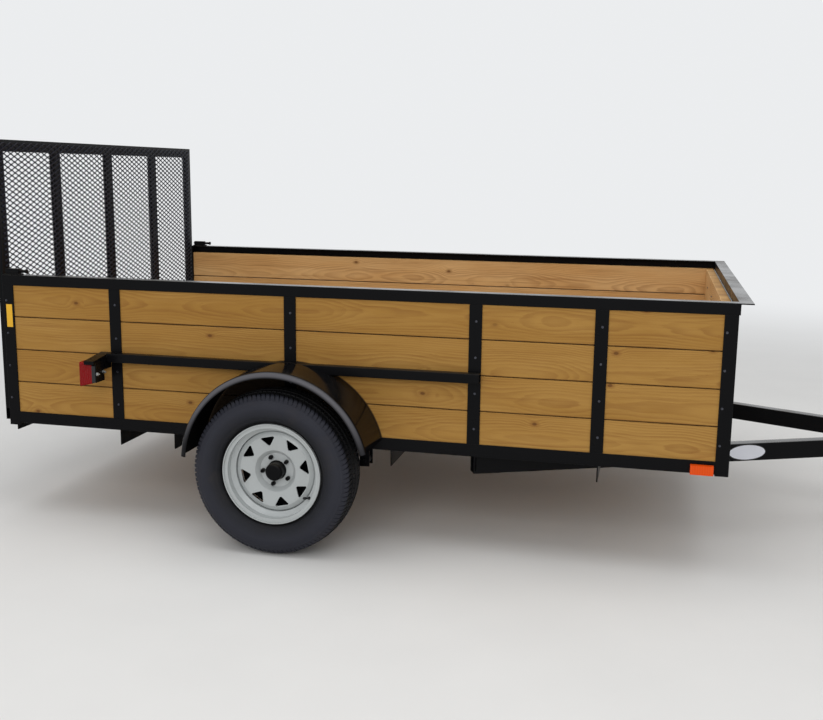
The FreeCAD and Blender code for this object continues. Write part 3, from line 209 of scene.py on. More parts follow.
class Paint(Nodes):
    """One procedural material."""

    def __init__(self, name, **shader_values):
        self.material = bpy.data.materials.new(name)
        self.material.use_nodes = True
        super().__init__(self.material.node_tree)
        self.shader = self.tree.nodes["Principled BSDF"]
        self.set(**shader_values)
        self.place = Signal(self, self.add("ShaderNodeTexCoord").outputs["Object"])

    def set(self, **values):
        """Set or link the shader's sockets: base_color is written for Base Color."""
        for name, value in values.items():
            title = "Specular IOR Level" if name == "specular" else name.replace("_", " ").title()
            self.feed(self.shader.inputs[title], value)

    def away(self, ahead, up):
        """Distance in the side view from a point."""
        x, _, z = self.split(self.place)
        x = x - ahead
        z = z - up
        return self.math("SQRT", x * x + z * z)

    def normal(self):
        """The three parts of the face's own direction."""
        return self.split(Signal(self, self.add("ShaderNodeNewGeometry").outputs["Normal"]))

    def bump(self, height, distance):
        node = self.add("ShaderNodeBump")
        self.feed(node.inputs["Height"], height)
        self.feed(node.inputs["Distance"], distance)
        self.feed(self.shader.inputs["Normal"], Signal(self, node.outputs[0]))


# Painted sheen on the fender's lip, each as where it begins and where it is full: in from the fender's outer
# side, in from the arch's edge, and up from the arch's middle.
LIP_FROM_SIDE = (0.012, 0.003)
LIP_FROM_EDGE = (0.026, 0.014)
LIP_HEIGHT = (0.05, 0.25)
# The share of the painted sheen that is left low on the lip, and the roughness added inside the arch.
LIP_LEAST = 0.1
INSIDE_DULL = 0.45


def black_steel(name, roughness, dust, ripple, specular=0.09, colour=BLACK, lip=None):
    """Black enamel on steel, with faint orange peel and dust that settles on what faces up.

    lip is the fender's arch and its outer side: a painted sheen makes the enamel pale along the arch's outer
    edge, most high up, and the enamel is dull inside the arch.
    """
    paint = Paint(name, specular=specular)
    cloud = paint.noise(paint.place, 5.0, 5.0, 0.6)
    speck = paint.noise(paint.place, 160.0, 3.0, 0.7)
    normal = paint.normal()
    upward = paint.ease(normal[2], 0.3, 0.95)
    film = upward * paint.ease(cloud, 0.4, 0.75) * dust + paint.ease(speck, 0.68, 0.78) * (dust * 0.5)
    tone = paint.mix(film, shade(colour), shade(DUST))
    dull = paint.ease(cloud, 0.25, 0.75, roughness * 0.85, roughness * 1.2) + film * 0.5
    if lip:
        ahead, up, reach, side = lip
        x, y, z = paint.split(paint.place)
        # Painted sheen: pale grey along the lip's outer edge, fading out low on the arch.
        outward = paint.ease(paint.math("ABSOLUTE", y), side - LIP_FROM_SIDE[0], side - LIP_FROM_SIDE[1])
        rim = paint.ease(paint.away(ahead, up), reach - LIP_FROM_EDGE[0], reach - LIP_FROM_EDGE[1])
        high = paint.ease(z, up + LIP_HEIGHT[0], up + LIP_HEIGHT[1], LIP_LEAST, 1.0)
        tone = paint.mix(outward * rim * high, tone, shade(LIP_PAINTED_SHEEN))
        inward = normal[0] * (x - ahead) + normal[2] * (z - up)
        dull = dull + paint.ease(inward, -0.1, -0.3, 0.0, INSIDE_DULL)
    paint.set(base_color=tone, roughness=dull)
    paint.bump(paint.noise(paint.place, 420.0, 2.0) + speck * 0.4, ripple)
    return paint.material


# Growth rings are circles round a pith behind the board's face, at a depth that drifts along the board.
RING_PITCH = 0.0068
PITH_DEPTH = 0.12
PITH_LEAST = 0.01
# Cells in a metre, along and across a board. A cell holds a knot where its random number is above these.
KNOT_CELLS = (5.5, 9.0)
KNOT_DICE = (0.86, 0.90)
# A knot pushes the rings out, by metres, and the reach of that, its brown edge and its core are in cells.
KNOT_SWIRL = 0.011
KNOT_SWIRL_REACH = 0.36
KNOT_HALO = (0.15, 0.05)
KNOT_CORE = (0.065, 0.035)


def lumber(name, along, across, start, pitch, worn=0.0, arch=None):
    """Sawn pine boards: growth rings round a pith behind each board's face, with knots and fibre.

    along and across are the axes (0, 1, 2) of the boards' length and of the direction they are laid in.
    start is where the first board begins across, and pitch the distance to the next. The sides that face
    the bed have paler tones, a painted light. arch is the fender's middle and reach: painted shade
    darkens the outer faces of the wood under it.
    """
    paint = Paint(name, specular=0.2)
    axes = paint.split(paint.place)
    depth_axis = 3 - along - across
    row = paint.math("FLOOR", (axes[across] - start) / pitch)
    wall = paint.math("SIGN", axes[depth_axis])
    seed_a, seed_b, seed_c = paint.random(row * 3.0 + wall * 41.0 + 7.0)
    length = axes[along] + seed_a * 9.0
    rise = axes[across] - start - row * pitch

    def drawn_out(along_scale, across_scale, offset, detail, roughness=0.5):
        """Noise that is stretched along the board."""
        place = paint.join(length * along_scale, rise * across_scale, offset)
        return paint.noise(place, 1.0, detail, roughness)

    knot_place = paint.join(length * KNOT_CELLS[0], rise * KNOT_CELLS[1] + seed_c * 30.0, 0.0)
    knot_far, knot_dice = paint.cells(knot_place, dimensions="2D")
    knotty = paint.ease(knot_dice, *KNOT_DICE)
    swirl = paint.ease(knot_far, 0.0, KNOT_SWIRL_REACH, KNOT_SWIRL, 0.0) * knotty
    core = paint.ease(knot_far, *KNOT_CORE) * knotty

    drift = paint.join(length, seed_b * 20.0, 0.0)
    pith = paint.noise(drift, 1.3, 2.0) * PITH_DEPTH + PITH_LEAST
    lateral = rise - pitch * 0.5 + (seed_b - 0.5) * 0.12 + (paint.noise(drift, 0.8, 1.0) - 0.5) * 0.05
    wobble = drawn_out(2.2, 22.0, seed_a * 9.0, 4.0, 0.6) * 0.010
    radius = paint.math("SQRT", lateral * lateral + pith * pith) + wobble + swirl
    ring = paint.math("FRACT", radius / RING_PITCH)
    late = paint.ease(ring, 0.1, 0.86) * paint.ease(ring, 1.0, 0.88)

    patchy = paint.ease(drawn_out(2.0, 25.0, seed_c * 5.0, 2.0), 0.3, 0.7, 0.3)
    fibre = drawn_out(9.0, 520.0, axes[depth_axis] * 520.0, 3.0, 0.6)
    streak = drawn_out(2.6, 62.0, seed_b * 17.0, 5.0, 0.62)
    cloud = drawn_out(1.6, 8.0, seed_b * 11.0, 5.0, 0.62)
    fleck = drawn_out(20.0, 90.0, seed_c * 23.0, 2.0, 0.6)
    edge = paint.math("ABSOLUTE", rise - pitch * 0.5) / (pitch * 0.5)
    chip = paint.noise(paint.join(length * 7.0, row * 3.0, seed_a * 5.0), 1.0, 3.0, 0.6)

    blend = paint.ease(cloud, 0.32, 0.68) * 0.6 + seed_b * 0.4
    # Painted light: the faces towards the bed take the paler tones.
    painted_light_bed_side = paint.ease(paint.normal()[depth_axis] * wall, 0.5, -0.5)
    outside = paint.mix(blend, shade(HONEY), shade(PALE_PINE))
    inside = paint.mix(blend, shade(INSIDE_HONEY_PAINTED_LIGHT), shade(INSIDE_PINE_PAINTED_LIGHT))
    grain = paint.mix(painted_light_bed_side, outside, inside)
    stains = [
        (late * patchy * 0.40, BROWN_LINE),
        (paint.ease(streak, 0.5, 0.78) * 0.42, BROWN_LINE),
        (paint.ease(fibre, 0.55, 0.8) * 0.16, BROWN_LINE),
        (paint.ease(fleck, 0.7, 0.8) * 0.3, BROWN_LINE),
        (paint.ease(knot_far, *KNOT_HALO) * knotty * 0.5, BROWN_LINE),
        (core * 0.65, KNOT),
        (paint.ease(edge + chip * 0.09, 0.985, 1.03) * 0.6, KNOT),
    ]
    # Painted shade: the outer faces of the boards under the fender's arch, and a thin fringe round it, are
    # darkened.
    if arch:
        ahead, up, reach = arch
        under = paint.ease(paint.away(ahead, up), reach + 0.006, reach)
        stains.append((under * (painted_light_bed_side * -1.0 + 1.0) * 0.95, SHADE_BROWN))
    if worn:
        scuff = paint.noise(paint.place, 3.0, 6.0, 0.7)
        stains.append((paint.ease(scuff, 0.45, 0.8) * worn, DUST))
    for amount, colour in stains:
        grain = paint.mix(amount, grain, shade(colour))
    paint.set(base_color=grain, roughness=paint.ease(fibre, 0.2, 0.8, 0.6, 0.8))
    paint.bump(fibre * 0.5 + late * 0.4 + streak * 0.5 - core, 0.0005)
    return paint.material


# Radius where the rubber is darkest by the rim, and where it has its own tone.
WALL_FADE = (0.205, 0.285)
# How far past the tread's edge the painted shade of the tread begins, and how far inside it is full.
TREAD_FADE = (0.004, -0.006)


def rubber(centre, half_tread):
    """Tyre rubber, dull, darker by the rim, with painted shade on the tread. centre is a wheel's middle."""
    paint = Paint("rubber", specular=0.2)
    cloud = paint.noise(paint.place, 9.0, 4.0, 0.6)
    grit = paint.noise(paint.place, 700.0, 2.0)
    off_middle = paint.math("ABSOLUTE", paint.math("ABSOLUTE", paint.split(paint.place)[1]) - centre.y)
    wall = paint.ease(paint.away(centre.x, centre.z), *WALL_FADE)
    # Painted shade: the tread's face is darkened.
    tread = paint.ease(off_middle, half_tread + TREAD_FADE[0], half_tread + TREAD_FADE[1])
    tone = paint.mix(wall, shade(BEAD_BLACK), shade(RUBBER))
    tone = paint.mix(paint.ease(cloud, 0.45, 0.8) * 0.12, tone, shade(DUST))
    tone = paint.mix(tread, tone, shade(TREAD_PAINTED_SHADE))
    paint.set(base_color=tone, roughness=paint.ease(cloud, 0.3, 0.7, 0.55, 0.78))
    paint.bump(grit, 0.0002)
    return paint.material


def wheel_enamel(disc_plane):
    """Pale grey wheel enamel with light road film, and painted shade: black behind the disc."""
    paint = Paint("wheel_enamel", specular=0.4, coat_weight=0.3, coat_roughness=0.18)
    cloud = paint.noise(paint.place, 14.0, 4.0, 0.6)
    film = paint.ease(cloud, 0.5, 0.85) * 0.22
    off_middle = paint.math("ABSOLUTE", paint.split(paint.place)[1])
    # Painted shade: everything behind the disc's plane is made black.
    behind = paint.ease(off_middle, disc_plane, disc_plane - 0.006)
    tone = paint.mix(film, shade(WHEEL_GREY), shade(FILM_GREY))
    tone = paint.mix(behind, tone, shade(BARREL_PAINTED_SHADE))
    paint.set(base_color=tone, roughness=paint.ease(cloud, 0.3, 0.7, 0.3, 0.42))
    paint.bump(paint.noise(paint.place, 500.0, 2.0), 0.00006)
    return paint.material


def zinc(name, tones):
    """Zinc-plated steel with its spangle, between two greys."""
    paint = Paint(name, metallic=1.0)
    distance, dice = paint.cells(paint.place, 260.0)
    paint.set(base_color=paint.mix(dice, shade(tones[0]), shade(tones[1])),
              roughness=paint.ease(dice, 0.0, 1.0, 0.28, 0.45))
    paint.bump(distance, 0.0001)
    return paint.material


def spring_steel():
    """Dark scaled spring steel with a brown bloom."""
    paint = Paint("spring_steel", specular=0.4, metallic=0.35)
    cloud = paint.noise(paint.place, 30.0, 6.0, 0.65)
    paint.set(base_color=paint.mix(paint.ease(cloud, 0.45, 0.75), shade(SCALE_GREY), shade(RUST_BROWN)),
              roughness=paint.ease(cloud, 0.3, 0.7, 0.45, 0.7))
    paint.bump(cloud, 0.0004)
    return paint.material


# Radians in a metre of the waves that a lens is moulded in.
RIB_RATE = 1450.0
FLUTE_RATE = 700.0


def lens(name, colour, deep):
    """Moulded lamp lens: fine ribs under a clear gloss skin."""
    paint = Paint(name, specular=0.12, coat_weight=0.08, coat_roughness=0.1)
    x, y, z = paint.split(paint.place)
    ribs = paint.math("SINE", z * RIB_RATE) * 0.5 + 0.5
    flutes = paint.math("SINE", (x + y) * FLUTE_RATE) * 0.5 + 0.5
    paint.set(base_color=paint.mix(ribs * 0.25 + flutes * 0.2, shade(colour), shade(deep)), roughness=0.22)
    paint.bump(ribs + flutes * 0.6, 0.0006)
    return paint.material


def plastic(name, colour, roughness=0.45):
    """Moulded plastic with a fine grain."""
    paint = Paint(name, specular=0.4)
    grit = paint.noise(paint.place, 900.0, 2.0)
    cloud = paint.noise(paint.place, 20.0, 3.0)
    lighter = tuple(min(255, step + 10) for step in colour)
    paint.set(base_color=paint.mix(cloud, shade(colour), shade(lighter)),
              roughness=paint.ease(grit, 0.3, 0.7, roughness * 0.85, roughness * 1.15))
    paint.bump(grit, 0.00008)
    return paint.material


# Sizes of the solids that the finishes follow.
BOARD_PITCH = 0.143
PLANK_PITCH = 0.1457
TREAD_EDGE = 0.0745
DISC_BACK = 0.012
FENDER_REACH = 0.392
FENDER_AHEAD = 0.020

# Places read from the frame.
boards_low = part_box("boards_right")[0]
planks_low, planks_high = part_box("floor_planks")
tyre_low, tyre_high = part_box("tyre_left")
fender_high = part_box("fender_left")[1]
wheel_centre = (tyre_low + tyre_high) / 2
fender_arch = (wheel_centre.x + FENDER_AHEAD, fender_high.z - FENDER_REACH, FENDER_REACH)

MATERIALS = {
    "black_paint": black_steel("black_enamel", roughness=0.3, dust=0.35, ripple=0.00005),
    "gloss_black": black_steel("gloss_enamel", roughness=0.14, dust=0.25, ripple=0.00003,
                               lip=(*fender_arch, fender_high.y)),
    "pine_boards": lumber("side_lumber", along=0, across=2, start=boards_low.z, pitch=BOARD_PITCH,
                          arch=fender_arch),
    "floor_pine": lumber("floor_lumber", along=0, across=1, start=planks_low.y, pitch=PLANK_PITCH, worn=0.4),
    "tyre": rubber(wheel_centre, TREAD_EDGE),
    "wheel_paint": wheel_enamel(wheel_centre.y - DISC_BACK),
    "zinc": zinc("zinc_plate", ZINC_GREY),
    "spring_steel": spring_steel(),
    "red_lens": lens("red_lens", RED, DEEP_RED),
    "amber_lens": lens("amber_lens", AMBER, DEEP_AMBER),
    "black_plastic": plastic("black_plastic", PLASTIC_BLACK),
    # The mesh's black paint carries a painted blue-grey sheen.
    "mesh_steel": black_steel("mesh_enamel", roughness=0.4, dust=0.2, ripple=0.00005, specular=0.16,
                              colour=MESH_BLACK_WITH_PAINTED_SHEEN),
}
FRONT_LUMBER = lumber("front_lumber", along=1, across=2, start=boards_low.z, pitch=BOARD_PITCH)
SCREW_STEEL = zinc("screw_steel", SCREW_GREY)
RAIL_TOP = black_steel("top_enamel", roughness=0.2, dust=0.3, ripple=0.00002, specular=0.45)
DRAWBAR_TOP = black_steel("drawbar_top", roughness=0.2, dust=0.3, ripple=0.00002, specular=0.9)
YELLOW_LABEL = plastic("yellow_label", YELLOW, roughness=0.5)
WHITE_LABEL = plastic("white_label", LABEL_WHITE, roughness=0.4)


def node_slots():
    """The record's material slot of each CAD node."""
    return {row["node"]: row["material_slot"] for row in frame["record"]["subparts"]}


# A face looks up where its normal rises by more than this.
FACES_UP = 0.9


def dress(name, material, top):
    """Give a CAD node its finish, and its upward faces the top finish where there is one."""
    mesh = frame["nodes"][name].data
    mesh.materials.clear()
    mesh.materials.append(material)
    if top:
        mesh.materials.append(top)
        for face in mesh.polygons:
            face.material_index = int(face.normal.z > FACES_UP)


# Distance under which two vertices are one, and the angle in degrees from which an edge is a corner.
SAME_POINT = 0.00002
SHARP_CORNER = 40


def soften(name, width):
    """Round a CAD node's sharp edges a little, so that they catch the light."""
    thing = frame["nodes"][name]
    weld = thing.modifiers.new("weld", "WELD")
    weld.merge_threshold = SAME_POINT
    bevel = thing.modifiers.new("rounded", "BEVEL")
    bevel.width = width
    bevel.segments = 2
    bevel.limit_method = "ANGLE"
    bevel.angle_limit = math.radians(SHARP_CORNER)
    thing.modifiers.new("normals", "WEIGHTED_NORMAL")


class Heap:
    """Many small forms joined into one mesh."""

    def __init__(self):
        self.points = []
        self.faces = []

    def put(self, form, matrix=Matrix.Identity(4)):
        points, faces = form
        first = len(self.points)
        self.points += [matrix @ Vector(point) for point in points]
        self.faces += [tuple(first + index for index in face) for face in faces]

    def piece(self, name, body, material, sharp=35.0):
        """Make the mesh and set it on its body."""
        mesh = bpy.data.meshes.new(name)
        mesh.from_pydata(self.points, [], self.faces)
        mesh.validate()
        mesh.shade_smooth()
        mesh.set_sharp_from_angle(angle=math.radians(sharp))
        mesh.materials.append(material)
        thing = bpy.data.objects.new(name, mesh)
        bpy.context.scene.collection.objects.link(thing)
        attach(thing, body)
        return thing


def lathe(profile, count):
    """Form turned about Z from (radius, height) pairs, closed at both ends."""
    points, faces = [], []
    for radius, height in profile:
        for step in range(count):
            angle = math.tau * step / count
            points.append((radius * math.cos(angle), radius * math.sin(angle), height))
    for ring in range(len(profile) - 1):
        for step in range(count):
            after = (step + 1) % count
            low, high = ring * count, (ring + 1) * count
            faces.append((low + step, low + after, high + after, high + step))
    faces.append(tuple(reversed(range(count))))
    faces.append(tuple(range((len(profile) - 1) * count, len(profile) * count)))
    return points, faces


def facing(place, direction):
    """Matrix that stands a form on a place with its Z axis along a direction."""
    turn = Vector(direction).to_track_quat("Z", "Y").to_matrix().to_4x4()
    return Matrix.Translation(place) @ turn


def screw_form(size):
    """Hex washer-head screw, by the radius of its washer."""
    washer = lathe([(size, 0), (size, size * 0.14), (size * 0.93, size * 0.2)], 20)
    head = lathe([(size * 0.68, size * 0.18), (size * 0.68, size * 0.62), (size * 0.6, size * 0.74)], 6)
    return washer, head


def put_screw(heap, place, direction, size, turn):
    """Put a screw on a place, with its head turned by an angle."""
    matrix = facing(place, direction) @ Matrix.Rotation(turn, 4, "Z")
    for form in screw_form(size):
        heap.put(form, matrix)


def stretch(a, b, radius, count):
    """Points of an arc from a to b in (y, r) that bulges away from the wheel's middle."""
    (u0, v0), (u1, v1) = a, b
    chord = math.hypot(u1 - u0, v1 - v0)
    rise = math.sqrt(radius ** 2 - (chord / 2) ** 2)
    normal = ((v1 - v0) / chord, -(u1 - u0) / chord)
    centre = ((u0 + u1) / 2 + normal[0] * rise, (v0 + v1) / 2 + normal[1] * rise)
    first = math.atan2(v0 - centre[1], u0 - centre[0])
    last = math.atan2(v1 - centre[1], u1 - centre[0])
    turn = (last - first + math.pi) % math.tau - math.pi
    angles = [first + turn * step / count for step in range(count + 1)]
    return [(centre[0] + radius * math.cos(angle), centre[1] + radius * math.sin(angle)) for angle in angles]


TREAD_PITCHES = 104
# Round one pitch of the tread: share of the pitch, and 1 where the cross slot is cut.
PITCH_STEPS = ((0.0, 0.0), (0.36, 0.0), (0.72, 0.0), (0.75, 1.0), (0.97, 1.0))
SLOT_DEPTH = 0.0065
# The slots slant by a wave across the tread: its height in pitches, and its radians in a metre.
SLOT_SLANT = 0.35
SLANT_RATE = 62
INNER_SLOT_SHARE = 0.55
GROOVE_DEPTH = 0.0085
GROOVE_HALF = 0.004
GROOVE_FLOOR_SHARE = 0.6
GROOVES = (0.0165, 0.047)
TREAD_DROP = 0.0085
# In from the tread's edge, where its last rib's flat top ends.
TREAD_LAST = 0.010
SHOULDER = (0.0865, 0.0195)
SHOULDER_ROUND = 0.017
SHOULDER_SLOTS = (1.0, 0.95, 0.85, 0.6)
WALL_ROUND = 0.0665
WALL_STEPS = 26
# The cross slots run out on the wall: their share of the full depth at its first step, and its fall at each.
WALL_SLOT_SHARE = 0.35
WALL_SLOT_FALL = 0.2
BEAD = (0.0632, 0.2115)
# The bead's foot, as how far in from the bead it lies, and its radius.
BEAD_FOOT = ((0.001, 0.203), (0.002, 0.1915), (0.006, 0.1908))
# Middle radius, height and half width of the raised rings on the walls.
SIDE_BANDS = ((0.302, 0.0012, 0.0012), (0.278, 0.0008, 0.011), (0.240, 0.0010, 0.0010),
              (0.2195, 0.0022, 0.004))
# How far past its half width a ring still lifts the wall.
BAND_SLACK = 0.0015


def tyre_outline(low, high):
    """Half of the tyre's outline, from the tread's middle to the bead: y, radius, depth of the cross slot."""
    outer = (high.z - low.z) / 2
    crown = TREAD_DROP / TREAD_EDGE ** 2
    tread = [(0.0, 0.0)]
    for groove in GROOVES:
        floor_half = GROOVE_HALF * GROOVE_FLOOR_SHARE
        tread += [(groove - GROOVE_HALF, 0.0), (groove - floor_half, GROOVE_DEPTH),
                  (groove + floor_half, GROOVE_DEPTH), (groove + GROOVE_HALF, 0.0)]
    tread.append((TREAD_EDGE - TREAD_LAST, 0.0))
    rings = []
    for y, sunk in tread:
        slot = 0.0
        if y > GROOVES[0] and not sunk:
            slot = SLOT_DEPTH * (INNER_SLOT_SHARE if y < GROOVES[-1] else 1.0)
        rings.append((y, outer - crown * y * y - sunk, slot))
    corner = (SHOULDER[0], outer - SHOULDER[1])
    shoulder = stretch((TREAD_EDGE, outer - TREAD_DROP), corner, SHOULDER_ROUND, len(SHOULDER_SLOTS) - 1)
    rings += [(y, radius, SLOT_DEPTH * share) for (y, radius), share in zip(shoulder, SHOULDER_SLOTS)]
    side = stretch(shoulder[-1], BEAD, WALL_ROUND, WALL_STEPS)[1:]
    for index, (y, radius) in enumerate(side):
        proud = 0.0
        for middle, height, reach in SIDE_BANDS:
            if abs(radius - middle) <= reach + BAND_SLACK:
                proud = height
        slot = SLOT_DEPTH * max(0.0, WALL_SLOT_SHARE - index * WALL_SLOT_FALL)
        rings.append((y + proud, radius, slot))
    rings += [(BEAD[0] - inward, radius, 0.0) for inward, radius in BEAD_FOOT]
    return rings


def make_tyre(side):
    """Tyre with ribs, slanted cross slots, shoulder blocks and raised rings on its walls."""
    node = "tyre_" + side
    low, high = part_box(node)
    middle = (low + high) / 2
    half_rings = tyre_outline(low, high)
    rings = [(-y, radius, slot) for y, radius, slot in reversed(half_rings[1:])] + half_rings
    points, faces = [], []
    for pitch in range(TREAD_PITCHES):
        for share, sunk in PITCH_STEPS:
            for y, radius, slot in rings:
                slant = SLOT_SLANT * math.cos(abs(y) * SLANT_RATE) * (1 if y > 0 else -1)
                angle = math.tau * (pitch + share + slant) / TREAD_PITCHES
                reach = radius - slot * sunk
                x = middle.x + reach * math.cos(angle)
                z = middle.z + reach * math.sin(angle)
                points.append((x, middle.y + y, z))
    around = TREAD_PITCHES * len(PITCH_STEPS)
    count = len(rings)
    for step in range(around):
        here, there = step * count, (step + 1) % around * count
        for ring in range(count - 1):
            faces.append((here + ring, here + ring + 1, there + ring + 1, there + ring))
        faces.append((here + count - 1, here, there, there + count - 1))
    heap = Heap()
    heap.put((points, faces))
    tyre = heap.piece("tyre_tread_" + side, "wheel_" + side, MATERIALS["tyre"], 28)
    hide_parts(node)


MESH_LONG = 0.0508
MESH_SHORT = 0.0234
MESH_MARGIN = 0.001
STRAND_WIDE = 0.0052
STRAND_THICK = 0.0030
# A strand's tilt in radians, and how far its bonds stand out by turns to the front and to the back.
STRAND_TILT = 0.55
STRAND_WAVE = 0.00066
# A bond's half length as a share of half a mesh, and how much of a strand's width laps its neighbour there.
BOND_SHARE = 0.22
BOND_LAP = 0.32


def make_gate_mesh():
    """Raised expanded mesh: zigzag strands that meet at their bonds, each a tilted flat ribbon."""
    low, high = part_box("gate_mesh")
    columns = int((high.y - low.y) // MESH_LONG)
    rows = int((high.z - low.z) // (MESH_SHORT / 2)) - 1
    start_y = (low.y + high.y - columns * MESH_LONG) / 2
    start_z = (low.z + high.z - rows * MESH_SHORT / 2) / 2
    middle_x = (low.x + high.x) / 2
    quarter = MESH_SHORT / 4 - STRAND_WIDE * BOND_LAP
    bond = MESH_LONG / 2 * BOND_SHARE
    points, faces = [], []
    for row in range(rows):
        centre = start_z + (row + 0.5) * MESH_SHORT / 2
        way = 1 if row % 2 else -1
        stations = []
        for half_column in range(2 * columns + 1):
            y = start_y + half_column * MESH_LONG / 2
            lift = way if half_column % 2 else -way
            for shift in (-bond, bond):
                if low.y + MESH_MARGIN < y + shift < high.y - MESH_MARGIN:
                    stations.append((y + shift, lift))
        first = len(points)
        for y, lift in stations:
            x = middle_x + lift * STRAND_WAVE
            z = centre + lift * quarter
            for across, thick in ((-1, -1), (1, -1), (1, 1), (-1, 1)):
                u = across * STRAND_WIDE / 2
                v = thick * STRAND_THICK / 2
                points.append((x + u * math.sin(STRAND_TILT) + v * math.cos(STRAND_TILT), y,
                               z + u * math.cos(STRAND_TILT) - v * math.sin(STRAND_TILT)))
        for station in range(len(stations) - 1):
            here, there = first + station * 4, first + (station + 1) * 4
            for corner in range(4):
                after = (corner + 1) % 4
                faces.append((here + corner, here + after, there + after, there + corner))
        last = first + (len(stations) - 1) * 4
        faces.append((first + 3, first + 2, first + 1, first))
        faces.append((last, last + 1, last + 2, last + 3))
    heap = Heap()
    heap.put((points, faces))
    mesh = heap.piece("expanded_mesh", "gate", MATERIALS["mesh_steel"], 50)
    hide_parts("gate_mesh")


def box_groups(name):
    """Lowest and highest corners of each separate solid of a CAD node, front to back."""
    mesh = bmesh.new()
    mesh.from_mesh(frame["nodes"][name].data)
    bmesh.ops.remove_doubles(mesh, verts=mesh.verts, dist=SAME_POINT)
    left = set(mesh.verts)
    found = []
    while left:
        island, front = set(), [next(iter(left))]
        while front:
            vertex = front.pop()
            if vertex in island:
                continue
            island.add(vertex)
            front += [edge.other_vert(vertex) for edge in vertex.link_edges]
        left -= island
        corners = [[pick(v.co[axis] for v in island) for axis in range(3)] for pick in (min, max)]
        found.append((Vector(corners[0]), Vector(corners[1])))
    mesh.free()
    return sorted(found, key=lambda pair: (-pair[0].x, pair[0].y, pair[0].z))


SIDE_SCREW = 0.0048
FRONT_SCREW = 0.0045
# How far a side screw's head turns with its place along the bed, in radians for each metre.
SCREW_TURN = 7
POST_SCREW_SHARE = 0.55
FRONT_CORNER_INSET = 0.012
REAR_CORNER_INSET = 0.016
FRONT_SCREW_PLACES = (-0.6, -0.2, 0.2, 0.6)


def make_board_screws():
    """One screw in each post for each board, and four in each front board."""
    heap = Heap()
    rows = [(low.z + high.z) / 2 for low, high in box_groups("boards_right")]
    corner_columns = [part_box("corner_posts_front")[0].x + FRONT_CORNER_INSET,
                      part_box("corner_posts_rear")[0].x + REAR_CORNER_INSET]
    for side, way in SIDES.items():
        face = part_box("posts_" + side)[0 if way < 0 else 1].y
        posts = box_groups("posts_" + side)
        columns = [low.x + (high.x - low.x) * POST_SCREW_SHARE for low, high in posts] + corner_columns
        for x in columns:
            for index, z in enumerate(rows):
                put_screw(heap, (x, face, z), (0, way, 0), SIDE_SCREW, x * SCREW_TURN + index)
    front_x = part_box("boards_front")[0].x
    for index, z in enumerate(rows):
        for y in FRONT_SCREW_PLACES:
            put_screw(heap, (front_x, y, z), (-1, 0, 0), FRONT_SCREW, y + index)
    heap.piece("board_screws", "chassis", SCREW_STEEL)


FLOOR_SCREW_HEAD = ((0.0052, -0.0004), (0.0052, 0.0003), (0.0046, 0.0006), (0.0018, 0.0006),
                    (0.0016, 0.0002))
PLANK_SCREW_SHARES = (0.22, 0.78)
PLANK_END_INSET = 0.022
MEMBER_SCREW_AHEAD = 0.008


def make_floor_screws():
    """Countersunk screws in the floor planks, in lines over what carries them."""
    heap = Heap()
    head = lathe(FLOOR_SCREW_HEAD, 16)
    lines = [(low.x + high.x) / 2 + MEMBER_SCREW_AHEAD for low, high in box_groups("cross_members")]
    lines += [planks_low.x + PLANK_END_INSET, planks_high.x - PLANK_END_INSET]
    for low, high in box_groups("floor_planks"):
        for x in lines:
            for share in PLANK_SCREW_SHARES:
                place = (x, low.y + (high.y - low.y) * share, planks_high.z)
                heap.put(head, Matrix.Translation(place))
    heap.piece("floor_screws", "chassis", SCREW_STEEL)


VALVE_HEIGHT = 0.2350
VALVE_AHEAD = 0.146
VALVE_OUT = 0.030
VALVE_LEAN = 0.47
VALVE_PROFILE = ((0.0075, -0.004), (0.0075, 0.0), (0.0058, 0.004), (0.0042, 0.012), (0.0040, 0.022),
                 (0.0052, 0.023), (0.0052, 0.036), (0.0040, 0.038))


def make_valves():
    """Rubber valve stem with its cap, out through each rim and leaning towards the wheel's middle."""
    for side, way in SIDES.items():
        low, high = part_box("rim_" + side)
        middle = (low + high) / 2
        start = Vector((middle.x + VALVE_AHEAD, middle.y + way * VALVE_OUT, VALVE_HEIGHT))
        inward = Vector((-VALVE_AHEAD, 0, middle.z - VALVE_HEIGHT)).normalized() * VALVE_LEAN
        heap = Heap()
        heap.put(lathe(VALVE_PROFILE, 16), facing(start, inward + Vector((0, way, 0))))
        heap.piece("valve_" + side, "wheel_" + side, MATERIALS["black_plastic"], 40)


# The black drum, a dark piece put where there is only shade, stands behind the hub's face, with a bevelled
# front edge and a flange at its back.
HUB_LENGTH = 0.070
DRUM_RADIUS = 0.159
DRUM_DEPTH = 0.046
DRUM_BACK = 0.012
DRUM_BORE = 0.040
DRUM_BEVEL = 0.006
DRUM_FLANGE = 0.006
DRUM_FLANGE_THICK = 0.005


def make_shade_drums():
    """Plain black drum behind each wheel's disc, a dark piece for the shade seen through the disc's windows.
    """
    flange = DRUM_RADIUS + DRUM_FLANGE
    profile = [(DRUM_BORE, 0.0), (DRUM_RADIUS - DRUM_BEVEL, 0.0), (DRUM_RADIUS, DRUM_BEVEL),
               (DRUM_RADIUS, DRUM_DEPTH - DRUM_FLANGE), (flange, DRUM_DEPTH - DRUM_FLANGE_THICK),
               (flange, DRUM_DEPTH)]
    for side, way in SIDES.items():
        low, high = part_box("hub_" + side)
        plane = (low.y if way > 0 else high.y) + way * (HUB_LENGTH - DRUM_BACK)
        heap = Heap()
        place = (wheel_centre.x, plane, wheel_centre.z)
        heap.put(lathe(profile, 72), facing(place, (0, -way, 0)))
        heap.piece("shade_drum_" + side, "wheel_" + side, MATERIALS["black_paint"])


# The dark bead in the front joint, a painted shade that fills the gap where there is only shade: how far it
# goes into what it touches, how far below and above the rail's lower edge it reaches, and how much shorter it
# is than the boards at each end.
JOINT_INTO = 0.0004
JOINT_DEPTH = 0.0065
JOINT_RISE = 0.0012
JOINT_END = 0.002


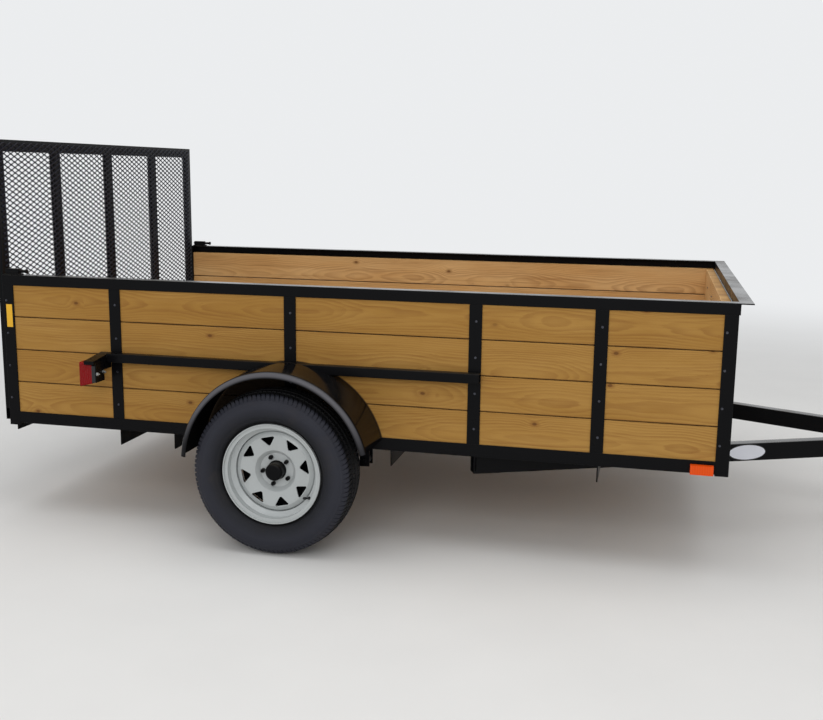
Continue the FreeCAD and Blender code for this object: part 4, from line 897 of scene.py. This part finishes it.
def make_front_shade_strip():
    """Rounded dark bead, a painted shade in the joint between the front boards and the front rail's leg."""
    low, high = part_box("boards_front")
    rail_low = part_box("rail_top_front")[0]
    half_wide = (rail_low.x - high.x) / 2 + JOINT_INTO
    half_high = (JOINT_DEPTH + JOINT_RISE) / 2
    middle = Vector(((rail_low.x + high.x) / 2, 0, rail_low.z - JOINT_DEPTH + half_high))
    shape = Matrix.Diagonal((half_wide, 1, half_high, 1)) @ Matrix.Rotation(-math.pi / 2, 4, "X")
    heap = Heap()
    heap.put(lathe([(1, low.y + JOINT_END), (1, high.y - JOINT_END)], 16), Matrix.Translation(middle) @ shape)
    heap.piece("front_shade_strip", "chassis", MATERIALS["black_plastic"], 50)


# Profile and number of sides of the washer, the nut and the stud that hold a tail light.
LAMP_FIXING = (
    (((0.0085, 0.0), (0.0085, 0.0014), (0.0080, 0.0018)), 20),
    (((0.0064, 0.0016), (0.0072, 0.0022), (0.0072, 0.0062), (0.0064, 0.0068)), 6),
    (((0.0030, 0.0060), (0.0030, 0.0120), (0.0024, 0.0126)), 12),
)
LAMP_STUD_SHIFT = 0.0254


def make_lamp_nuts():
    """Two nuts with their studs in front of each tail light's bracket."""
    heap = Heap()
    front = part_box("tail_light_brackets")[1].x
    for low, high in box_groups("tail_light_housings"):
        for shift in (-LAMP_STUD_SHIFT, LAMP_STUD_SHIFT):
            place = (front, (low.y + high.y) / 2 + shift, (low.z + high.z) / 2)
            for profile, count in LAMP_FIXING:
                heap.put(lathe(profile, count), facing(place, (1, 0, 0)))
    heap.piece("lamp_nuts", "chassis", MATERIALS["zinc"])


LABEL_THICK = 0.0008
PLATE_X = (-2.056, -2.028)
PLATE_Z = (0.839, 0.938)


def make_plate():
    """Blank yellow plate on the right rear corner post."""
    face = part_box("corner_posts_rear")[0].y
    (x0, x1), (z0, z1) = PLATE_X, PLATE_Z
    corners = [(x0, z0), (x1, z0), (x1, z1), (x0, z1)]
    points = [(x, face, z) for x, z in corners] + [(x, face - LABEL_THICK, z) for x, z in corners]
    heap = Heap()
    heap.put((points, [(3, 2, 1, 0), (4, 5, 6, 7), (0, 1, 5, 4), (1, 2, 6, 5), (2, 3, 7, 6), (3, 0, 4, 7)]))
    heap.piece("blank_plate", "chassis", YELLOW_LABEL, 20)


OVAL_AHEAD = 0.111
OVAL_HALF_LENGTH = 0.087
OVAL_HALF_HEIGHT = 0.0355
OVAL_BORDER = 0.004
OVAL_FACE_THICK = 0.00128
OVAL_SIDES = 48


def outer_face(name, way):
    """Middle, direction along and normal of a drawbar tube's outer side."""
    mesh = frame["nodes"][name].data
    faces = [face for face in mesh.polygons if face.normal.y * way > 0.7]
    outermost = max(faces, key=lambda face: face.center.dot(face.normal))
    normal = outermost.normal.copy()
    return outermost.center.copy(), Vector((-normal.y, normal.x, 0)).normalized(), normal


def make_oval():
    """Blank white oval with a black border on the right drawbar tube."""
    low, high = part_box("tongue_right")
    start, along, normal = outer_face("tongue_right", -1)
    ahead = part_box("corner_posts_front")[1].x + OVAL_AHEAD
    centre = start + along * ((ahead - start.x) / along.x)
    centre.z = (low.z + high.z) / 2
    sheets = (("oval_border", MATERIALS["black_plastic"], 0.0, LABEL_THICK),
              ("blank_oval", WHITE_LABEL, OVAL_BORDER, OVAL_FACE_THICK))
    faces = [tuple(reversed(range(OVAL_SIDES))), tuple(range(OVAL_SIDES, 2 * OVAL_SIDES))]
    for step in range(OVAL_SIDES):
        after = (step + 1) % OVAL_SIDES
        faces.append((step, after, OVAL_SIDES + after, OVAL_SIDES + step))
    for name, material, inset, thick in sheets:
        points = []
        for rise in (0.0, thick):
            for step in range(OVAL_SIDES):
                angle = math.tau * step / OVAL_SIDES
                spot = centre + along * ((OVAL_HALF_LENGTH - inset) * math.cos(angle)) + normal * rise
                points.append(spot + Vector((0, 0, (OVAL_HALF_HEIGHT - inset) * math.sin(angle))))
        heap = Heap()
        heap.put((points, faces))
        heap.piece(name, "chassis", material, 20)


FLOOR_SIZE = 40.0
# Distances from the middle at which the floor begins to fade and is gone.
FADE_START = 3.2
FADE_END = 9.0
BACKDROP_LEVEL = 0.86
LIGHT_LEVEL = 0.72
BACKDROP = (0.97, 0.985, 1.0, 1.0)
FLOOR_TONES = ((214, 213, 211), (222, 221, 219))
# Name, place, target, width, height and power of each lamp.
SOFTBOXES = (
    ("softbox_above", (-0.5, -1.0, 6.0), (-0.2, 0.0, 0.4), 7.0, 5.0, 150.0),
    ("softbox_near", (0.1, -6.5, 3.6), (-0.4, 0.0, 0.6), 4.0, 2.5, 85.0),
)


def make_floor():
    """Pale floor that fades into the surroundings with distance."""
    size = FLOOR_SIZE
    corners = [(-size, -size, 0), (size, -size, 0), (size, size, 0), (-size, size, 0)]
    mesh = bpy.data.meshes.new("floor")
    mesh.from_pydata(corners, [], [(0, 1, 2, 3)])
    floor = bpy.data.objects.new("floor", mesh)
    bpy.context.scene.collection.objects.link(floor)
    paint = Paint("floor_grey", specular=0.1, roughness=0.9)
    x, y, _ = paint.split(paint.place)
    away = paint.math("SQRT", x * x + y * y)
    cloud = paint.noise(paint.place, 2.0, 4.0)
    paint.set(base_color=paint.mix(cloud, shade(FLOOR_TONES[0]), shade(FLOOR_TONES[1])))
    glow = paint.add("ShaderNodeEmission")
    paint.feed(glow.inputs["Color"], BACKDROP)
    paint.feed(glow.inputs["Strength"], BACKDROP_LEVEL)
    blend = paint.add("ShaderNodeMixShader")
    paint.feed(blend.inputs[0], paint.ease(away, FADE_START, FADE_END) * paint.seen())
    paint.feed(blend.inputs[1], Signal(paint, paint.shader.outputs[0]))
    paint.feed(blend.inputs[2], Signal(paint, glow.outputs[0]))
    paint.feed(paint.tree.nodes["Material Output"].inputs["Surface"], Signal(paint, blend.outputs[0]))
    mesh.materials.append(paint.material)


def make_surroundings():
    """Pale light from all round, a little brighter where it is seen."""
    world = bpy.data.worlds.new("surroundings")
    bpy.context.scene.world = world
    world.use_nodes = True
    sky = Nodes(world.node_tree)
    background = world.node_tree.nodes["Background"]
    sky.feed(background.inputs["Color"], BACKDROP)
    sky.feed(background.inputs["Strength"], sky.seen() * (BACKDROP_LEVEL - LIGHT_LEVEL) + LIGHT_LEVEL)


def make_softboxes():
    """Two soft lamps, one overhead and one on the camera's side."""
    for name, place, target, width, height, power in SOFTBOXES:
        lamp = bpy.data.lights.new(name, "AREA")
        lamp.shape = "RECTANGLE"
        lamp.size = width
        lamp.size_y = height
        lamp.energy = power
        thing = bpy.data.objects.new(name, lamp)
        bpy.context.scene.collection.objects.link(thing)
        thing.location = place
        thing.rotation_euler = (Vector(target) - Vector(place)).to_track_quat("-Z", "Y").to_euler()


def make_camera():
    """The photograph's viewpoint."""
    data = bpy.data.cameras.new("camera")
    data.lens = CAMERA_LENS
    data.sensor_width = SENSOR_WIDTH
    data.clip_start = 0.05
    data.clip_end = 200.0
    camera = bpy.data.objects.new("camera", data)
    bpy.context.scene.collection.objects.link(camera)
    camera.location = CAMERA_PLACE
    camera.rotation_euler = [math.radians(angle) for angle in (CAMERA_PITCH, CAMERA_ROLL, CAMERA_YAW)]
    bpy.context.scene.camera = camera


# By the start of a node's name: how wide its edges are rounded, and the finish of what faces up.
SOFT_EDGES = {
    "rail_bottom": 0.0012, "rail_top": 0.0014, "rail_middle": 0.003, "posts": 0.0012, "corner_posts": 0.0012,
    "sill": 0.0012, "cross_members": 0.0012, "tongue": 0.004, "gate_frame": 0.0022, "boards": 0.0028,
    "floor_planks": 0.0030, "tail_light_brackets": 0.0008, "gate_latches": 0.0006, "coupler_latch": 0.0015,
}
TOP_FINISHES = {"rail_top": RAIL_TOP, "tongue": DRAWBAR_TOP}


def matching(table, name):
    """The table's value whose key a node's name starts with, or None."""
    return next((value for start, value in table.items() if name.startswith(start)), None)


def dress_nodes():
    """Give every CAD node its finish and its rounded edges."""
    slots = node_slots()
    for name in frame["nodes"]:
        finish = FRONT_LUMBER if name == "boards_front" else MATERIALS[slots[name]]
        dress(name, finish, matching(TOP_FINISHES, name))
        width = matching(SOFT_EDGES, name)
        if width:
            soften(name, width)


bpy.context.scene.view_settings.view_transform = "Standard"
make_camera()
make_floor()
make_surroundings()
make_softboxes()
dress_nodes()
for side_name in SIDES:
    make_tyre(side_name)
make_gate_mesh()
make_board_screws()
make_floor_screws()
make_valves()
make_shade_drums()
make_front_shade_strip()
make_lamp_nuts()
make_plate()
make_oval()
